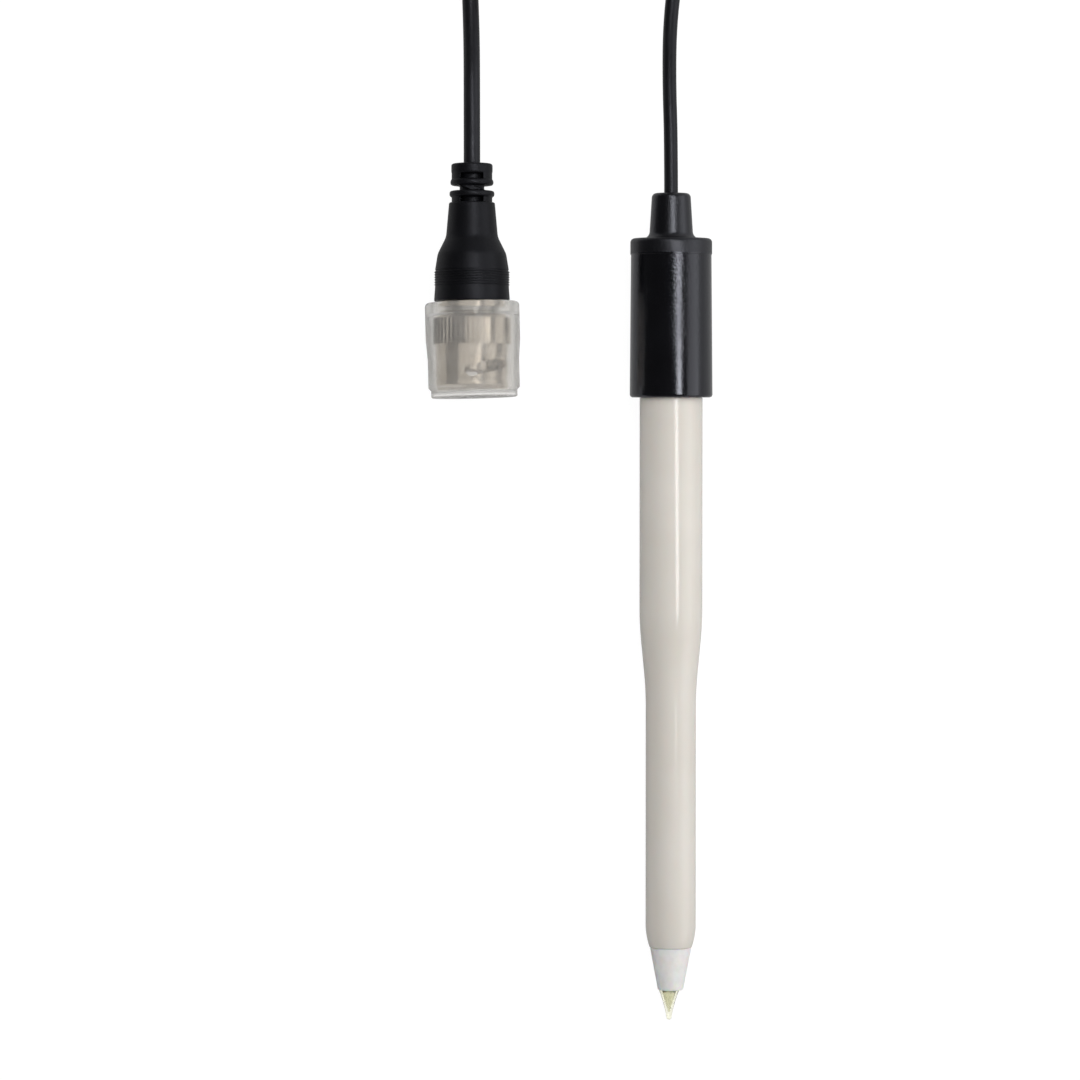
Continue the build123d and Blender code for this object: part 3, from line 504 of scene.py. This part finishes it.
def glassOutline(spec):
    steps = 8
    rounded = []
    for step in range(steps + 1):
        angle = pi / 2 * step / steps
        rounded.append((spec.tipRadius * sin(angle), spec.tip + spec.tipRadius * (1 - cos(angle))))
    low = Vector((spec.tipRadius, spec.tip + spec.tipRadius))
    high = Vector((spec.radius, spec.start))
    flankSteps = 18
    flank = []
    for step in range(1, flankSteps + 1):
        share = step / flankSteps
        point = low.lerp(high, share)
        flank.append((point.x - spec.hollow * 4 * share * (1 - share), point.y))
    inner = spec.radius - spec.wall
    return rounded + flank + [
        (spec.radius, spec.top),
        (inner, spec.top),
        (inner, spec.start + spec.wall),
        (spec.innerTip, spec.tip + spec.tipWall),
        (0, spec.tip + spec.tipWall),
    ]


stemPlace = probePlace @ Matrix.Translation((-glass.offset, 0, 0))
glassSpear = turned("phGlassSpear", glassOutline(glass), stemPlace, 96)
settle(glassSpear, "electrode", "ph_glass", "glass_spear")
print("probe made")


# Geometry node tools

def newNodes(name, inputs):
    # a tree with an input for each (name, kind, value), and a store for what links to them
    tree = bpy.data.node_groups.new(name, "GeometryNodeTree")
    tree.interface.new_socket("Geometry", in_out="INPUT", socket_type="NodeSocketGeometry")
    for label, kind, value in inputs:
        socket = tree.interface.new_socket(label, in_out="INPUT", socket_type="NodeSocket" + kind)
        if kind != "Material":
            socket.default_value = value
    tree.interface.new_socket("Geometry", in_out="OUTPUT", socket_type="NodeSocketGeometry")
    entry = addNode(tree, "NodeGroupInput")
    return tree, entry.outputs


def closeNodes(tree, entry, geometry):
    # real mesh and its material at the end, because instances don't leave the scene
    real = addNode(tree, "GeometryNodeRealizeInstances", [("Geometry", geometry)])
    dressed = addNode(tree, "GeometryNodeSetMaterial", [("Geometry", real.outputs[0]), ("Material", entry["Material"])])
    addNode(tree, "NodeGroupOutput", [("Geometry", dressed.outputs[0])])


def grown(name, tree, values):
    # a new object whose mesh comes from the tree, worked out once and kept as plain mesh
    piece = bpy.data.objects.new(name, bpy.data.meshes.new(name))
    scene.collection.objects.link(piece)
    modifier = piece.modifiers.new(name, "NODES")
    modifier.node_group = tree
    for item in tree.interface.items_tree:
        if item.in_out == "INPUT" and item.name in values:
            modifier[item.identifier] = values[item.name]
    return applied(piece)


def ringNodes():
    # raised rings on an axis: an oval section swept round a circle, repeated at a pitch
    tree, entry = newNodes("ringsOnAxis", [
        ("Count", "Int", 6), ("Pitch", "Float", 0.475), ("Start", "Float", 0.0), ("Radius", "Float", 7.0),
        ("Height", "Float", 0.1), ("Width", "Float", 0.3), ("Segments", "Int", 144), ("Material", "Material", None)])
    circle = addNode(tree, "GeometryNodeCurvePrimitiveCircle", [("Resolution", entry["Segments"]),
                                                                ("Radius", entry["Radius"])])
    section = addNode(tree, "GeometryNodeCurvePrimitiveCircle", [("Resolution", 10), ("Radius", 1.0)])
    halfWidth = addNode(tree, "ShaderNodeMath", [(0, entry["Width"]), (1, 0.5)], operation="MULTIPLY")
    oval = addNode(tree, "ShaderNodeCombineXYZ", [("X", entry["Height"]), ("Y", halfWidth.outputs[0]), ("Z", 1.0)])
    pressed = addNode(tree, "GeometryNodeTransform", [("Geometry", section.outputs[0]), ("Scale", oval.outputs[0])])
    ring = addNode(tree, "GeometryNodeCurveToMesh", [("Curve", circle.outputs[0]),
                                                     ("Profile Curve", pressed.outputs[0])])
    first = addNode(tree, "ShaderNodeCombineXYZ", [("Z", entry["Start"])])
    step = addNode(tree, "ShaderNodeCombineXYZ", [("Z", entry["Pitch"])])
    line = addNode(tree, "GeometryNodeMeshLine", [("Count", entry["Count"]), ("Start Location", first.outputs[0]),
                                                  ("Offset", step.outputs[0])])
    rings = addNode(tree, "GeometryNodeInstanceOnPoints", [("Points", line.outputs[0]),
                                                           ("Instance", ring.outputs[0])])
    closeNodes(tree, entry, rings.outputs[0])
    return tree


def ridgeNodes():
    # straight knurl: a trapezoid ridge along the axis, drawn in at both ends, repeated round the circle
    tree, entry = newNodes("straightKnurl", [
        ("Count", "Int", 48), ("Radius", "Float", 7.0), ("Start", "Float", 0.0), ("Length", "Float", 5.0),
        ("Foot", "Float", 0.8), ("Crest", "Float", 0.2), ("Rise", "Float", 0.3), ("Turn", "Float", 0.0),
        ("Material", "Material", None)])
    end = addNode(tree, "ShaderNodeCombineXYZ", [("Z", entry["Length"])])
    line = addNode(tree, "GeometryNodeCurvePrimitiveLine", [("End", end.outputs[0])])
    fine = addNode(tree, "GeometryNodeResampleCurve", [("Curve", line.outputs[0]), ("Count", 15)])
    share = addNode(tree, "GeometryNodeSplineParameter").outputs["Factor"]
    fromMiddle = addNode(tree, "ShaderNodeMath", [(0, share), (1, 0.5)], operation="SUBTRACT")
    away = addNode(tree, "ShaderNodeMath", [(0, fromMiddle.outputs[0])], operation="ABSOLUTE")
    drawn = addNode(tree, "ShaderNodeMapRange", [("Value", away.outputs[0]), ("From Min", 0.42), ("From Max", 0.5),
                                                 ("To Min", 1.0), ("To Max", 0.5)])
    sized = addNode(tree, "GeometryNodeSetCurveRadius", [("Curve", fine.outputs[0]), ("Radius", drawn.outputs[0])])
    section = addNode(tree, "GeometryNodeCurvePrimitiveQuadrilateral", mode="TRAPEZOID")
    for label, source in (("Bottom Width", "Foot"), ("Top Width", "Crest"), ("Height", "Rise")):
        tree.links.new(entry[source], section.inputs[label])
    upright = addNode(tree, "GeometryNodeTransform", [("Geometry", section.outputs[0]),
                                                      ("Rotation", (0, 0, -pi / 2))])
    ridge = addNode(tree, "GeometryNodeCurveToMesh", [("Curve", sized.outputs[0]),
                                                      ("Profile Curve", upright.outputs[0]), ("Fill Caps", True)])
    index = addNode(tree, "GeometryNodeInputIndex").outputs[0]
    step = addNode(tree, "ShaderNodeMath", [(0, 2 * pi), (1, entry["Count"])], operation="DIVIDE")
    angle = addNode(tree, "ShaderNodeMath", [(0, index), (1, step.outputs[0]), (2, entry["Turn"])],
                    operation="MULTIPLY_ADD")
    shares = [addNode(tree, "ShaderNodeMath", [(0, angle.outputs[0])], operation=kind) for kind in ("COSINE", "SINE")]
    spot = [addNode(tree, "ShaderNodeMath", [(0, part.outputs[0]), (1, entry["Radius"])], operation="MULTIPLY")
            for part in shares]
    where = addNode(tree, "ShaderNodeCombineXYZ", [("X", spot[0].outputs[0]), ("Y", spot[1].outputs[0]),
                                                   ("Z", entry["Start"])])
    points = addNode(tree, "GeometryNodePoints", [("Count", entry["Count"]), ("Position", where.outputs[0])])
    facing = addNode(tree, "ShaderNodeCombineXYZ", [("Z", angle.outputs[0])])
    ridges = addNode(tree, "GeometryNodeInstanceOnPoints", [("Points", points.outputs[0]),
                                                            ("Instance", ridge.outputs[0]),
                                                            ("Rotation", facing.outputs[0])])
    closeNodes(tree, entry, ridges.outputs[0])
    return tree


# Plug boot: one moulding with grip rings and a segmented flex relief

boot = Sizes(face=7.23, faceRound=0.3, waist=7.03, gripStart=2.95, gripEnd=5.8, gripBase=7.01, shoulder=9.1,
             shoulderRadius=6.53, throat=12.3, throatRadius=4.94, end=18.86, endRadius=4.36, blend=3.6, cup=4.23,
             cupDepth=1.65, sleeve=2.93, sleeveDepth=8.5, hole=1.55, ringCount=6, ringHeight=0.16, ringWidth=0.26,
             groove=0.14, grooveWidth=0.18, waistRound=0.05, gripRound=0.02)
relief = Sizes(core=2.35, coreSunk=1.0, coreShort=0.5, gap=1.05, disc=1.15, discs=(4.28, 4.1), lastDisc=1.95,
               lastRadius=3.94, side=3.87, window=4.4, neck=2.95, web=2.6, edge=0.42, sunk=0.15, voxel=0.1, smooth=6)
bootPlace = placeAlong(bootFace, -plugAxis)


def bootBody(spec):
    return turned("plugBoot", eased([
        (spec.cup, 0),
        (spec.face, 0, spec.faceRound),
        (spec.waist, spec.gripStart, spec.waistRound),
        (spec.gripBase, spec.gripStart + spec.gripRound, spec.gripRound),
        (spec.gripBase, spec.gripEnd - spec.gripRound, spec.gripRound),
        (spec.waist - spec.groove, spec.gripEnd),
        (spec.waist - spec.groove, spec.gripEnd + spec.grooveWidth),
        (spec.waist, spec.gripEnd + spec.grooveWidth, spec.waistRound),
        (spec.shoulderRadius, spec.shoulder, spec.blend),
        (spec.throatRadius, spec.throat, spec.blend),
        (spec.endRadius, spec.end, spec.faceRound),
        (spec.hole, spec.end),
        (spec.hole, spec.sleeveDepth),
        (spec.sleeve, spec.sleeveDepth),
        (spec.sleeve, spec.cupDepth),
        (spec.cup, spec.cupDepth),
    ], steps=10))


def prism(work, corners, low, high, axis):
    # a flat outline given a thickness: along Z for a web round the lead, along Y for the slanting one
    def at(corner, level):
        return (corner[0], corner[1], level) if axis == "Z" else (corner[0], level, corner[1])

    swept(work, [[at(corner, level) for corner in corners] for level in (low, high)])


def reliefPiece(spec, start):
    # discs on a core, joined by side webs in the outer gaps and one slanting web in the middle gap
    work = bmesh.new()
    first = start + spec.gap
    second = first + spec.disc + spec.gap
    last = second + spec.disc + spec.gap
    end = last + spec.lastDisc
    hole = boot.hole
    low = start - spec.coreSunk
    high = end - spec.coreShort
    turnedRings(work, [(hole, low), (spec.core, low), (spec.core, high), (hole, high)], 96)
    for low, thick, radius in ((first, spec.disc, spec.discs[0]), (second, spec.disc, spec.discs[1]),
                               (last, spec.lastDisc, spec.lastRadius)):
        turnedRings(work, eased([
            (hole, low), (radius, low, spec.edge), (radius, low + thick, spec.edge), (hole, low + thick),
        ]), 96)
    reach = sqrt(spec.side ** 2 - (spec.window / 2) ** 2)
    opening = atan2(reach, spec.window / 2)
    for low in (start, last - spec.gap):
        for side in (1, -1):
            arc = [(side * spec.side * cos(opening * step / 8), spec.side * sin(opening * step / 8))
                   for step in range(-8, 9)]
            prism(work, arc, low - spec.sunk, low + spec.gap + spec.sunk, "Z")
    low = first + spec.disc
    high = low + spec.gap
    slope = [(-spec.neck, high + spec.sunk), (spec.web - spec.neck, high + spec.sunk),
             (spec.neck, low - spec.sunk), (spec.neck - spec.web, low - spec.sunk)]
    prism(work, slope, -spec.neck, spec.neck, "Y")
    piece = finishMesh(work, "relief")
    remesh = piece.modifiers.new("remesh", "REMESH")
    remesh.mode = "VOXEL"
    remesh.voxel_size = spec.voxel
    remesh.use_smooth_shade = True
    smooth = piece.modifiers.new("smooth", "SMOOTH")
    smooth.iterations = spec.smooth
    return applied(piece)


gripPitch = (boot.gripEnd - boot.gripStart) / boot.ringCount
gripRings = grown("gripRings", ringNodes(), {
    "Count": boot.ringCount, "Pitch": gripPitch, "Start": boot.gripStart + gripPitch / 2,
    "Radius": boot.gripBase, "Height": boot.ringHeight, "Width": boot.ringWidth, "Material": bootPvc})
plugBoot = joined(bootBody(boot), gripRings, reliefPiece(relief, boot.end))
plugBoot.data.transform(bootPlace)
settle(plugBoot, "electrode", "boot_plastic", "relief_boot")
print("boot made")


# Coupling nut: turned, with two bayonet slots milled through and a straight knurl

nut = Sizes(rear=1.9, front=16.2, rearRadius=5.9, root=6.95, knurlStart=3.2, knurlEnd=8.1, crest=7.25, ridges=48,
            foot=0.7, top=0.4, barrel=6.8, groove=6.55, grooveWidth=0.4, rimLength=1.2, rim=6.9, chamfer=0.3, bore=4.95,
            shank=4.15, flange=1.2, edge=0.08, sunk=0.1)
slot = Sizes(width=2.2, depth=5.65, start=13.3, rise=2.5, turn=90.0, inner=4.6, outer=7.4, past=1.0)


def nutBody(spec):
    rim = spec.front - spec.rimLength
    ease = spec.edge
    return turned("couplingNut", eased([
        (spec.shank, spec.rear),
        (spec.rearRadius, spec.rear, 2 * ease),
        (spec.root, spec.knurlStart, 2 * ease),
        (spec.root, spec.knurlEnd, ease),
        (spec.barrel, spec.knurlEnd, ease),
        (spec.barrel, rim - spec.grooveWidth, ease),
        (spec.groove, rim - spec.grooveWidth, ease),
        (spec.groove, rim, ease),
        (spec.rim, rim, ease),
        (spec.rim, spec.front - spec.chamfer, ease),
        (spec.rim - spec.chamfer, spec.front, ease),
        (spec.bore + spec.chamfer, spec.front, ease),
        (spec.bore, spec.front - spec.chamfer, ease),
        (spec.bore, spec.rear + spec.flange),
        (spec.shank, spec.rear + spec.flange),
    ], steps=4), segments=160)


def slotCutter(spec, around):
    # each slot runs in from the front inside the wall, then round and back through it to a round seat
    work = bmesh.new()
    middle = (around.bore + around.barrel) / 2
    half = spec.width / 2
    across = radians(spec.turn) * middle
    length = hypot(across, spec.rise)
    way = Vector((-across, -spec.rise)) / length
    normal = Vector((-way.y, way.x))
    steps = 48
    for begin in (pi / 2, 3 * pi / 2):
        rings = []
        for step in range(steps + 1):
            run = (length + 2 * half) * (1 - cos(pi * step / steps)) / 2 - half
            past = max(-run, run - length, 0)
            wide = sqrt(max(half ** 2 - past ** 2, 1e-4))
            ring = []
            for side, radius in ((1, spec.inner), (1, spec.outer), (-1, spec.outer), (-1, spec.inner)):
                flat = way * run + normal * wide * side
                angle = begin + flat.x / middle
                ring.append((radius * cos(angle), radius * sin(angle), spec.start + flat.y))
            rings.append(ring)
        swept(work, rings)
        up = 1 if begin < pi else -1
        corners = [(x, up * y) for x, y in ((-half, spec.inner), (half, spec.inner), (half, spec.depth),
                                            (-half, spec.depth))]
        prism(work, corners, spec.start, around.front + spec.past, "Z")
    return finishMesh(work, "slotCutter")


def millSlots(piece, spec):
    cutter = slotCutter(spec, nut)
    cut = piece.modifiers.new("slots", "BOOLEAN")
    cut.operation = "DIFFERENCE"
    cut.solver = "EXACT"
    cut.use_self = True
    cut.object = cutter
    applied(piece)
    bpy.data.objects.remove(cutter)
    piece.data.shade_smooth()
    piece.data.set_sharp_from_angle(angle=sharpAngle)
    return piece


knurl = grown("knurlRidges", ridgeNodes(), {
    "Count": nut.ridges, "Radius": (nut.root + nut.crest - nut.sunk) / 2, "Start": nut.knurlStart,
    "Length": nut.knurlEnd - nut.knurlStart, "Foot": nut.foot, "Crest": nut.top,
    "Rise": nut.crest - nut.root + nut.sunk, "Material": nickel})
couplingNut = joined(millSlots(nutBody(nut), slot), knurl)
couplingNut.data.transform(plugPlace)
couplingNut.data.set_sharp_from_angle(angle=sharpAngle)
settle(couplingNut, "nut", "plated_metal", "coupling_nut")
print("nut made")


# Frosted cover, pushed on a little out of line

cover = Sizes(mouthGap=0.1, lean=1.5, length=18.15, radius=9.0, small=8.71, lip=8.22, mouthRound=1.5, grip=7.45,
              gripLength=2.1, bore=8.0, smallBore=7.7, wide=7.2, slope=3.7, slopeRound=3.0, lipLength=1.35,
              lipChamfer=0.5, endWall=0.95, endRound=0.3, gripRound=0.1, boreRound=0.15, innerRound=0.4)


def coverOutline(spec):
    smallStart = spec.wide + spec.slope
    lipStart = spec.length - spec.lipLength
    return eased([
        (0, spec.length),
        (spec.lip, spec.length, spec.endRound),
        (spec.lip, lipStart, spec.endRound / 2),
        (spec.small, lipStart - spec.lipChamfer, spec.endRound),
        (spec.small, smallStart, spec.slopeRound),
        (spec.radius, spec.wide, spec.slopeRound),
        (spec.radius, 0, spec.mouthRound),
        (spec.grip, 0, spec.gripRound),
        (spec.grip, spec.gripLength, spec.boreRound),
        (spec.bore, spec.gripLength + spec.bore - spec.grip, spec.boreRound),
        (spec.bore, spec.wide, spec.slopeRound),
        (spec.smallBore, smallStart, spec.slopeRound),
        (spec.smallBore, spec.length - spec.endWall, spec.innerRound),
        (0, spec.length - spec.endWall),
    ], steps=9)


coverPlace = plugPlace @ Matrix.Translation((0, 0, cover.mouthGap)) @ Matrix.Rotation(radians(cover.lean), 4, "Y")
frostedCover = turned("frostedPlugCover", coverOutline(cover), coverPlace, 160)
settle(frostedCover, "cover", "cover_plastic", "plug_cover")
print("cover made")


# Lead: one length, from the cap's neck through the coil to the plug

lead = {"diameter": 3.0, "length": 1.9, "neckTop": 144.0}
# its way: it leaves the coil half way round, in steps that say how far from the middle and how far below the top
leadWay = Sizes(jacketEnd=127.5, neckRun=9.0, probeShare=0.88, plugShare=1.06, plugZ=9.0, plugX=-37.96, plugRun=97.0,
                insideBoot=66.85, toCoil=((-0.35, 100, 7.4), (-0.1, 112.5, 3.4), (1.5, 124.5, 1.55)),
                fromCoil=((-42.1, 138.5, 1.55), (-38.7, 124.5, 1.6), (-38.1, 110.5, 4.0)),
                leaving=((22.15, 0), (24.15, 0), (25.45, 0.8), (25.45, 2.6), (25.45, 4.6), (25.45, 6.6), (25.45, 8.3)),
                down=(25.45, 1.8), shapedPoints=5)
coil = Sizes(x=-17.4, y=145.0, rows=(22.15, 19.1, 16.05, 13.0), pitch=3.05, layers=4, lowest=2.1, perTurn=16,
             change=45.0, run=9.0)


def coilTrack(spec):
    # (degrees travelled, radius, height) at each change: rows go in on one layer and out on the next,
    # each step to the next row takes an eighth of a turn, and so does each climb to the next layer
    travelled = 0.0
    height = spec.lowest
    track = [(travelled, spec.rows[0], height)]
    for layer in range(spec.layers):
        rows = spec.rows if layer % 2 == 0 else spec.rows[::-1]
        for index, row in enumerate(rows):
            last = index == len(rows) - 1
            travelled += 360 - spec.change * (2 if last or (layer and index == 0) else 1)
            track.append((travelled, row, height))
            if last and layer == spec.layers - 1:
                return track
            travelled += spec.change
            if last:
                height += spec.pitch
            track.append((travelled, row if last else rows[index + 1], height))


def coilCorners(spec):
    # corners of the line round the coil: a curve of order 3 touches their sides half way
    track = coilTrack(spec)
    step = 360 / spec.perTurn
    corners = []
    place = 0
    for count in range(round(track[-1][0] / step)):
        travelled = (count + 0.5) * step
        while track[place + 1][0] < travelled:
            place += 1
        before, after = track[place], track[place + 1]
        share = (travelled - before[0]) / (after[0] - before[0])
        radius = before[1] + (after[1] - before[1]) * share
        height = before[2] + (after[2] - before[2]) * share
        corners.append(roundCoil(spec, travelled, radius, height))
    return corners


def roundCoil(spec, travelled, radius, height):
    angle = radians(travelled)
    reach = radius / cos(pi / spec.perTurn)
    return Vector((spec.x + reach * cos(angle), spec.y + reach * sin(angle), height)) * mm


def leadRoute(spec, around):
    # the cap's end, then the coil, then half way round its outside, down, and up to the plug
    side = around.x + around.rows[0]
    top = around.lowest + (around.layers - 1) * around.pitch
    route = [onProbe(0, spec.jacketEnd), onProbe(0, lead["neckTop"] + spec.neckRun)]
    for point in (*spec.toCoil, (side, around.y - around.run, around.lowest)):
        route.append(Vector(point) * mm)
    route += coilCorners(around)
    leaving = [(radius, top - drop) for radius, drop in spec.leaving]
    for count, (radius, height) in enumerate([*leaving, spec.down]):
        route.append(roundCoil(around, (count + 0.5) * 360 / around.perTurn, radius, height))
    for point in (*spec.fromCoil, (spec.plugX, spec.plugRun, spec.plugZ),
                  (spec.plugX, spec.insideBoot, spec.plugZ)):
        route.append(Vector(point) * mm)
    return route


def leadCurve(name, route, spec):
    curve = bpy.data.curves.new(name, "CURVE")
    curve.dimensions = "3D"
    curve.resolution_u = 6
    curve.bevel_depth = lead["diameter"] / 2 * mm
    curve.bevel_resolution = 7
    curve.use_fill_caps = True
    spline = curve.splines.new("NURBS")
    spline.points.add(len(route) - 1)
    for place, (corner, point) in enumerate(zip(spline.points, route)):
        # drawn a little thinner at the probe, and a little thicker where the plug was moulded on
        early = max(0, 1 - place / spec.shapedPoints)
        late = max(0, 1 - (len(route) - 1 - place) / spec.shapedPoints)
        corner.co = (*point, 1)
        corner.radius = 1 + (spec.probeShare - 1) * min(1, early * 2) + (spec.plugShare - 1) * min(1, late * 2)
    spline.order_u = 3
    spline.use_endpoint_u = True
    piece = bpy.data.objects.new(name, curve)
    scene.collection.objects.link(piece)
    return piece


blackLead = leadCurve("blackLead", leadRoute(leadWay, coil), leadWay)
settle(blackLead, "electrode", "cord_jacket", "cord_probe_run", "cord_coil", "cord_plug_run")
print("lead made")


# Twist tie: a flat strip with a wire in it round the turns, its two ends twisted together

tie = Sizes(width=12.75, height=12.35, middle=6.675, corner=1.6, strip=4.0, thick=0.5, edge=0.28, wire=0.45, tail=8.0,
            tailWidth=2.2, tailThick=0.95, twists=1.75, clear=0.02, narrowing=0.35, flattened=0.3)


def tieLoop(spec):
    # (place, outward) round a rectangle with round corners, in the plane across the turns
    points = []
    for turn, (wide, high) in enumerate(((1, 1), (-1, 1), (-1, -1), (1, -1))):
        corner = Vector((wide * (spec.width / 2 - spec.corner), high * (spec.height / 2 - spec.corner)))
        for step in range(13):
            angle = pi / 2 * (turn + step / 12)
            outward = Vector((cos(angle), sin(angle)))
            points.append((corner + outward * spec.corner, outward))
    return points


def twistTie(spec, around):
    work = bmesh.new()
    middle = Vector((around.x, around.y - (around.rows[0] + around.rows[-1]) / 2, spec.middle))
    half = spec.strip / 2
    side = [(half, spec.clear), (half, spec.edge), (spec.wire, spec.edge),
            (spec.wire / 2, spec.thick)]
    section = [(-across, lift) for across, lift in side] + side[::-1]
    rings = []
    for place, outward in tieLoop(spec):
        rings.append([middle + Vector((across, place.x + outward.x * lift, place.y + outward.y * lift))
                      for across, lift in section])
    swept(work, rings, closed=True)
    start = middle + Vector((0, spec.width / 2 + spec.edge / 2, 0))
    rings = []
    steps = 56
    for step in range(steps + 1):
        share = step / steps
        turn = 2 * pi * spec.twists * share
        narrow = 1 - spec.narrowing * share ** 6
        ring = []
        for index in range(24):
            angle = 2 * pi * index / 24
            wide = spec.tailWidth / 2 * cos(angle) * narrow
            thick = spec.tailThick / 2 * sin(angle) * (1 - spec.flattened * cos(angle) ** 2)
            ring.append(start + Vector((thick * cos(turn) - wide * sin(turn), spec.tail * share,
                                        wide * cos(turn) + thick * sin(turn))))
        rings.append(ring)
    swept(work, rings)
    return finishMesh(work, "twistTie", Matrix.Scale(mm, 4))


coilTie = twistTie(tie, coil)
settle(coilTie, "electrode", "tie_plastic", "cord_tie")
print("tie made")


# Camera, floor and light

view = Sizes(x=-25.0, y=12.9, height=859.0, focus=9.0, width=205.7, sensor=36.0)
cameraData = bpy.data.cameras.new("photoCamera")
cameraData.sensor_width = view.sensor
cameraData.lens = view.sensor * (view.height - view.focus) / view.width
cameraData.clip_start = 0.01
cameraData.clip_end = 10
camera = bpy.data.objects.new("photoCamera", cameraData)
camera.location = Vector((view.x, view.y, view.height)) * mm
scene.collection.objects.link(camera)
scene.camera = camera

light = Sizes(key=9.0, keyWidth=0.1, keyNear=(0.247, -0.065, 0.56), keyFar=(-0.056, 0.44, 0.56), right=1.0, fill=1.12,
              ceiling=0.03, leftWall=0.06, rightWall=0.72, wallTurn=(-0.6, 0.7), ceilingTurn=(0.1, 0.7))


def areaLight(name, middle, target, along, width, length, radiance, shiny=True):
    # the lamp's face has this radiance, and length runs as near to along as facing the target allows
    data = bpy.data.lights.new(name, "AREA")
    data.shape = "RECTANGLE"
    data.size = width
    data.size_y = length
    data.energy = radiance * pi * width * length
    lamp = bpy.data.objects.new(name, data)
    away = (Vector(middle) - Vector(target)).normalized()
    side = Vector(along).cross(away).normalized()
    lamp.matrix_world = Matrix.Translation(middle) @ Matrix((side, away.cross(side), away)).transposed().to_4x4()
    lamp.visible_glossy = shiny
    scene.collection.objects.link(lamp)


keyNear = Vector(light.keyNear)
keyFar = Vector(light.keyFar)
keyMiddle = (keyNear + keyFar) / 2
areaLight("keyStrip", keyMiddle, (0, keyMiddle.y, 0), keyFar - keyNear, light.keyWidth,
          (keyFar - keyNear).length, light.key)
areaLight("rightPanel", middle=(0.8, 0.05, 0.42), target=(0, 0.02, 0), along=(0, 1, 0), width=0.6, length=1.2,
          radiance=light.right)
areaLight("ceilingFill", middle=(-0.3, 0.03, 1.15), target=(0, 0.03, 0), along=(0, 1, 0), width=1.3, length=1.3,
          radiance=light.fill, shiny=False)


def studioWorld():
    # a dark ceiling over a dark left wall and a bright right one, with plain white behind the object
    world = bpy.data.worlds.new("studio")
    scene.world = world
    world.use_nodes = True
    tree = world.node_tree
    tree.nodes.clear()
    direction = addNode(tree, "ShaderNodeTexCoord").outputs["Generated"]
    part = addNode(tree, "ShaderNodeSeparateXYZ", [("Vector", direction)])
    brightness = light.leftWall
    for axis, (start, end), value in (("X", light.wallTurn, light.rightWall),
                                      ("Z", light.ceilingTurn, light.ceiling)):
        brightness = addNode(tree, "ShaderNodeMapRange", [
            ("Value", part.outputs[axis]), ("From Min", start), ("From Max", end), ("To Min", brightness),
            ("To Max", value)]).outputs[0]
    room = addNode(tree, "ShaderNodeBackground", [("Color", (1, 1, 1, 1)), ("Strength", brightness)])
    backdrop = addNode(tree, "ShaderNodeBackground", [("Color", (1, 1, 1, 1)), ("Strength", 1.0)])
    seen = addNode(tree, "ShaderNodeLightPath").outputs["Is Camera Ray"]
    mixed = addNode(tree, "ShaderNodeMixShader", [(0, seen), (1, room.outputs[0]), (2, backdrop.outputs[0])])
    addNode(tree, "ShaderNodeOutputWorld", [("Surface", mixed.outputs[0])])


def paperFloor():
    # White paper sweep: the camera and clear pieces see it white with a faint shadow, and metal mirrors it grey
    spec = Sizes(size=2.4, white=0.94, shade=0.16, mirrored=0.45)
    work = bmesh.new()
    half = spec.size / 2
    corners = [work.verts.new((x, y, 0)) for x, y in ((-half, -half), (half, -half), (half, half), (-half, half))]
    work.faces.new(corners)
    floorPiece = finishMesh(work, "paperFloor")
    material, tree, surface = blank("whitePaper", specular=0.0)
    surface.inputs["Base Color"].default_value = linear("#efefef")
    surface.inputs["Roughness"].default_value = 0.9
    path = addNode(tree, "ShaderNodeLightPath")
    through = addNode(tree, "ShaderNodeMath", [(0, path.outputs["Is Camera Ray"]),
                                               (1, path.outputs["Is Transmission Ray"])], operation="MAXIMUM")
    seen = addNode(tree, "ShaderNodeMath", [(0, through.outputs[0]), (1, path.outputs["Is Glossy Ray"])],
                   operation="MAXIMUM")
    share = addNode(tree, "ShaderNodeMath", [(0, seen.outputs[0]), (1, 1 - spec.shade)], operation="MULTIPLY")
    white = addNode(tree, "ShaderNodeMapRange", [("Value", through.outputs[0]), ("To Min", spec.mirrored),
                                                ("To Max", spec.white / (1 - spec.shade))])
    glow = addNode(tree, "ShaderNodeEmission", [("Color", (1, 1, 1, 1)), ("Strength", white.outputs[0])])
    mixed = addNode(tree, "ShaderNodeMixShader", [(0, share.outputs[0]), (1, surface.outputs[0]),
                                                  (2, glow.outputs[0])])
    output = next(node for node in tree.nodes if node.type == "OUTPUT_MATERIAL")
    tree.links.new(mixed.outputs[0], output.inputs["Surface"])
    floorPiece.data.materials.append(material)


studioWorld()
paperFloor()
print("camera and light made")
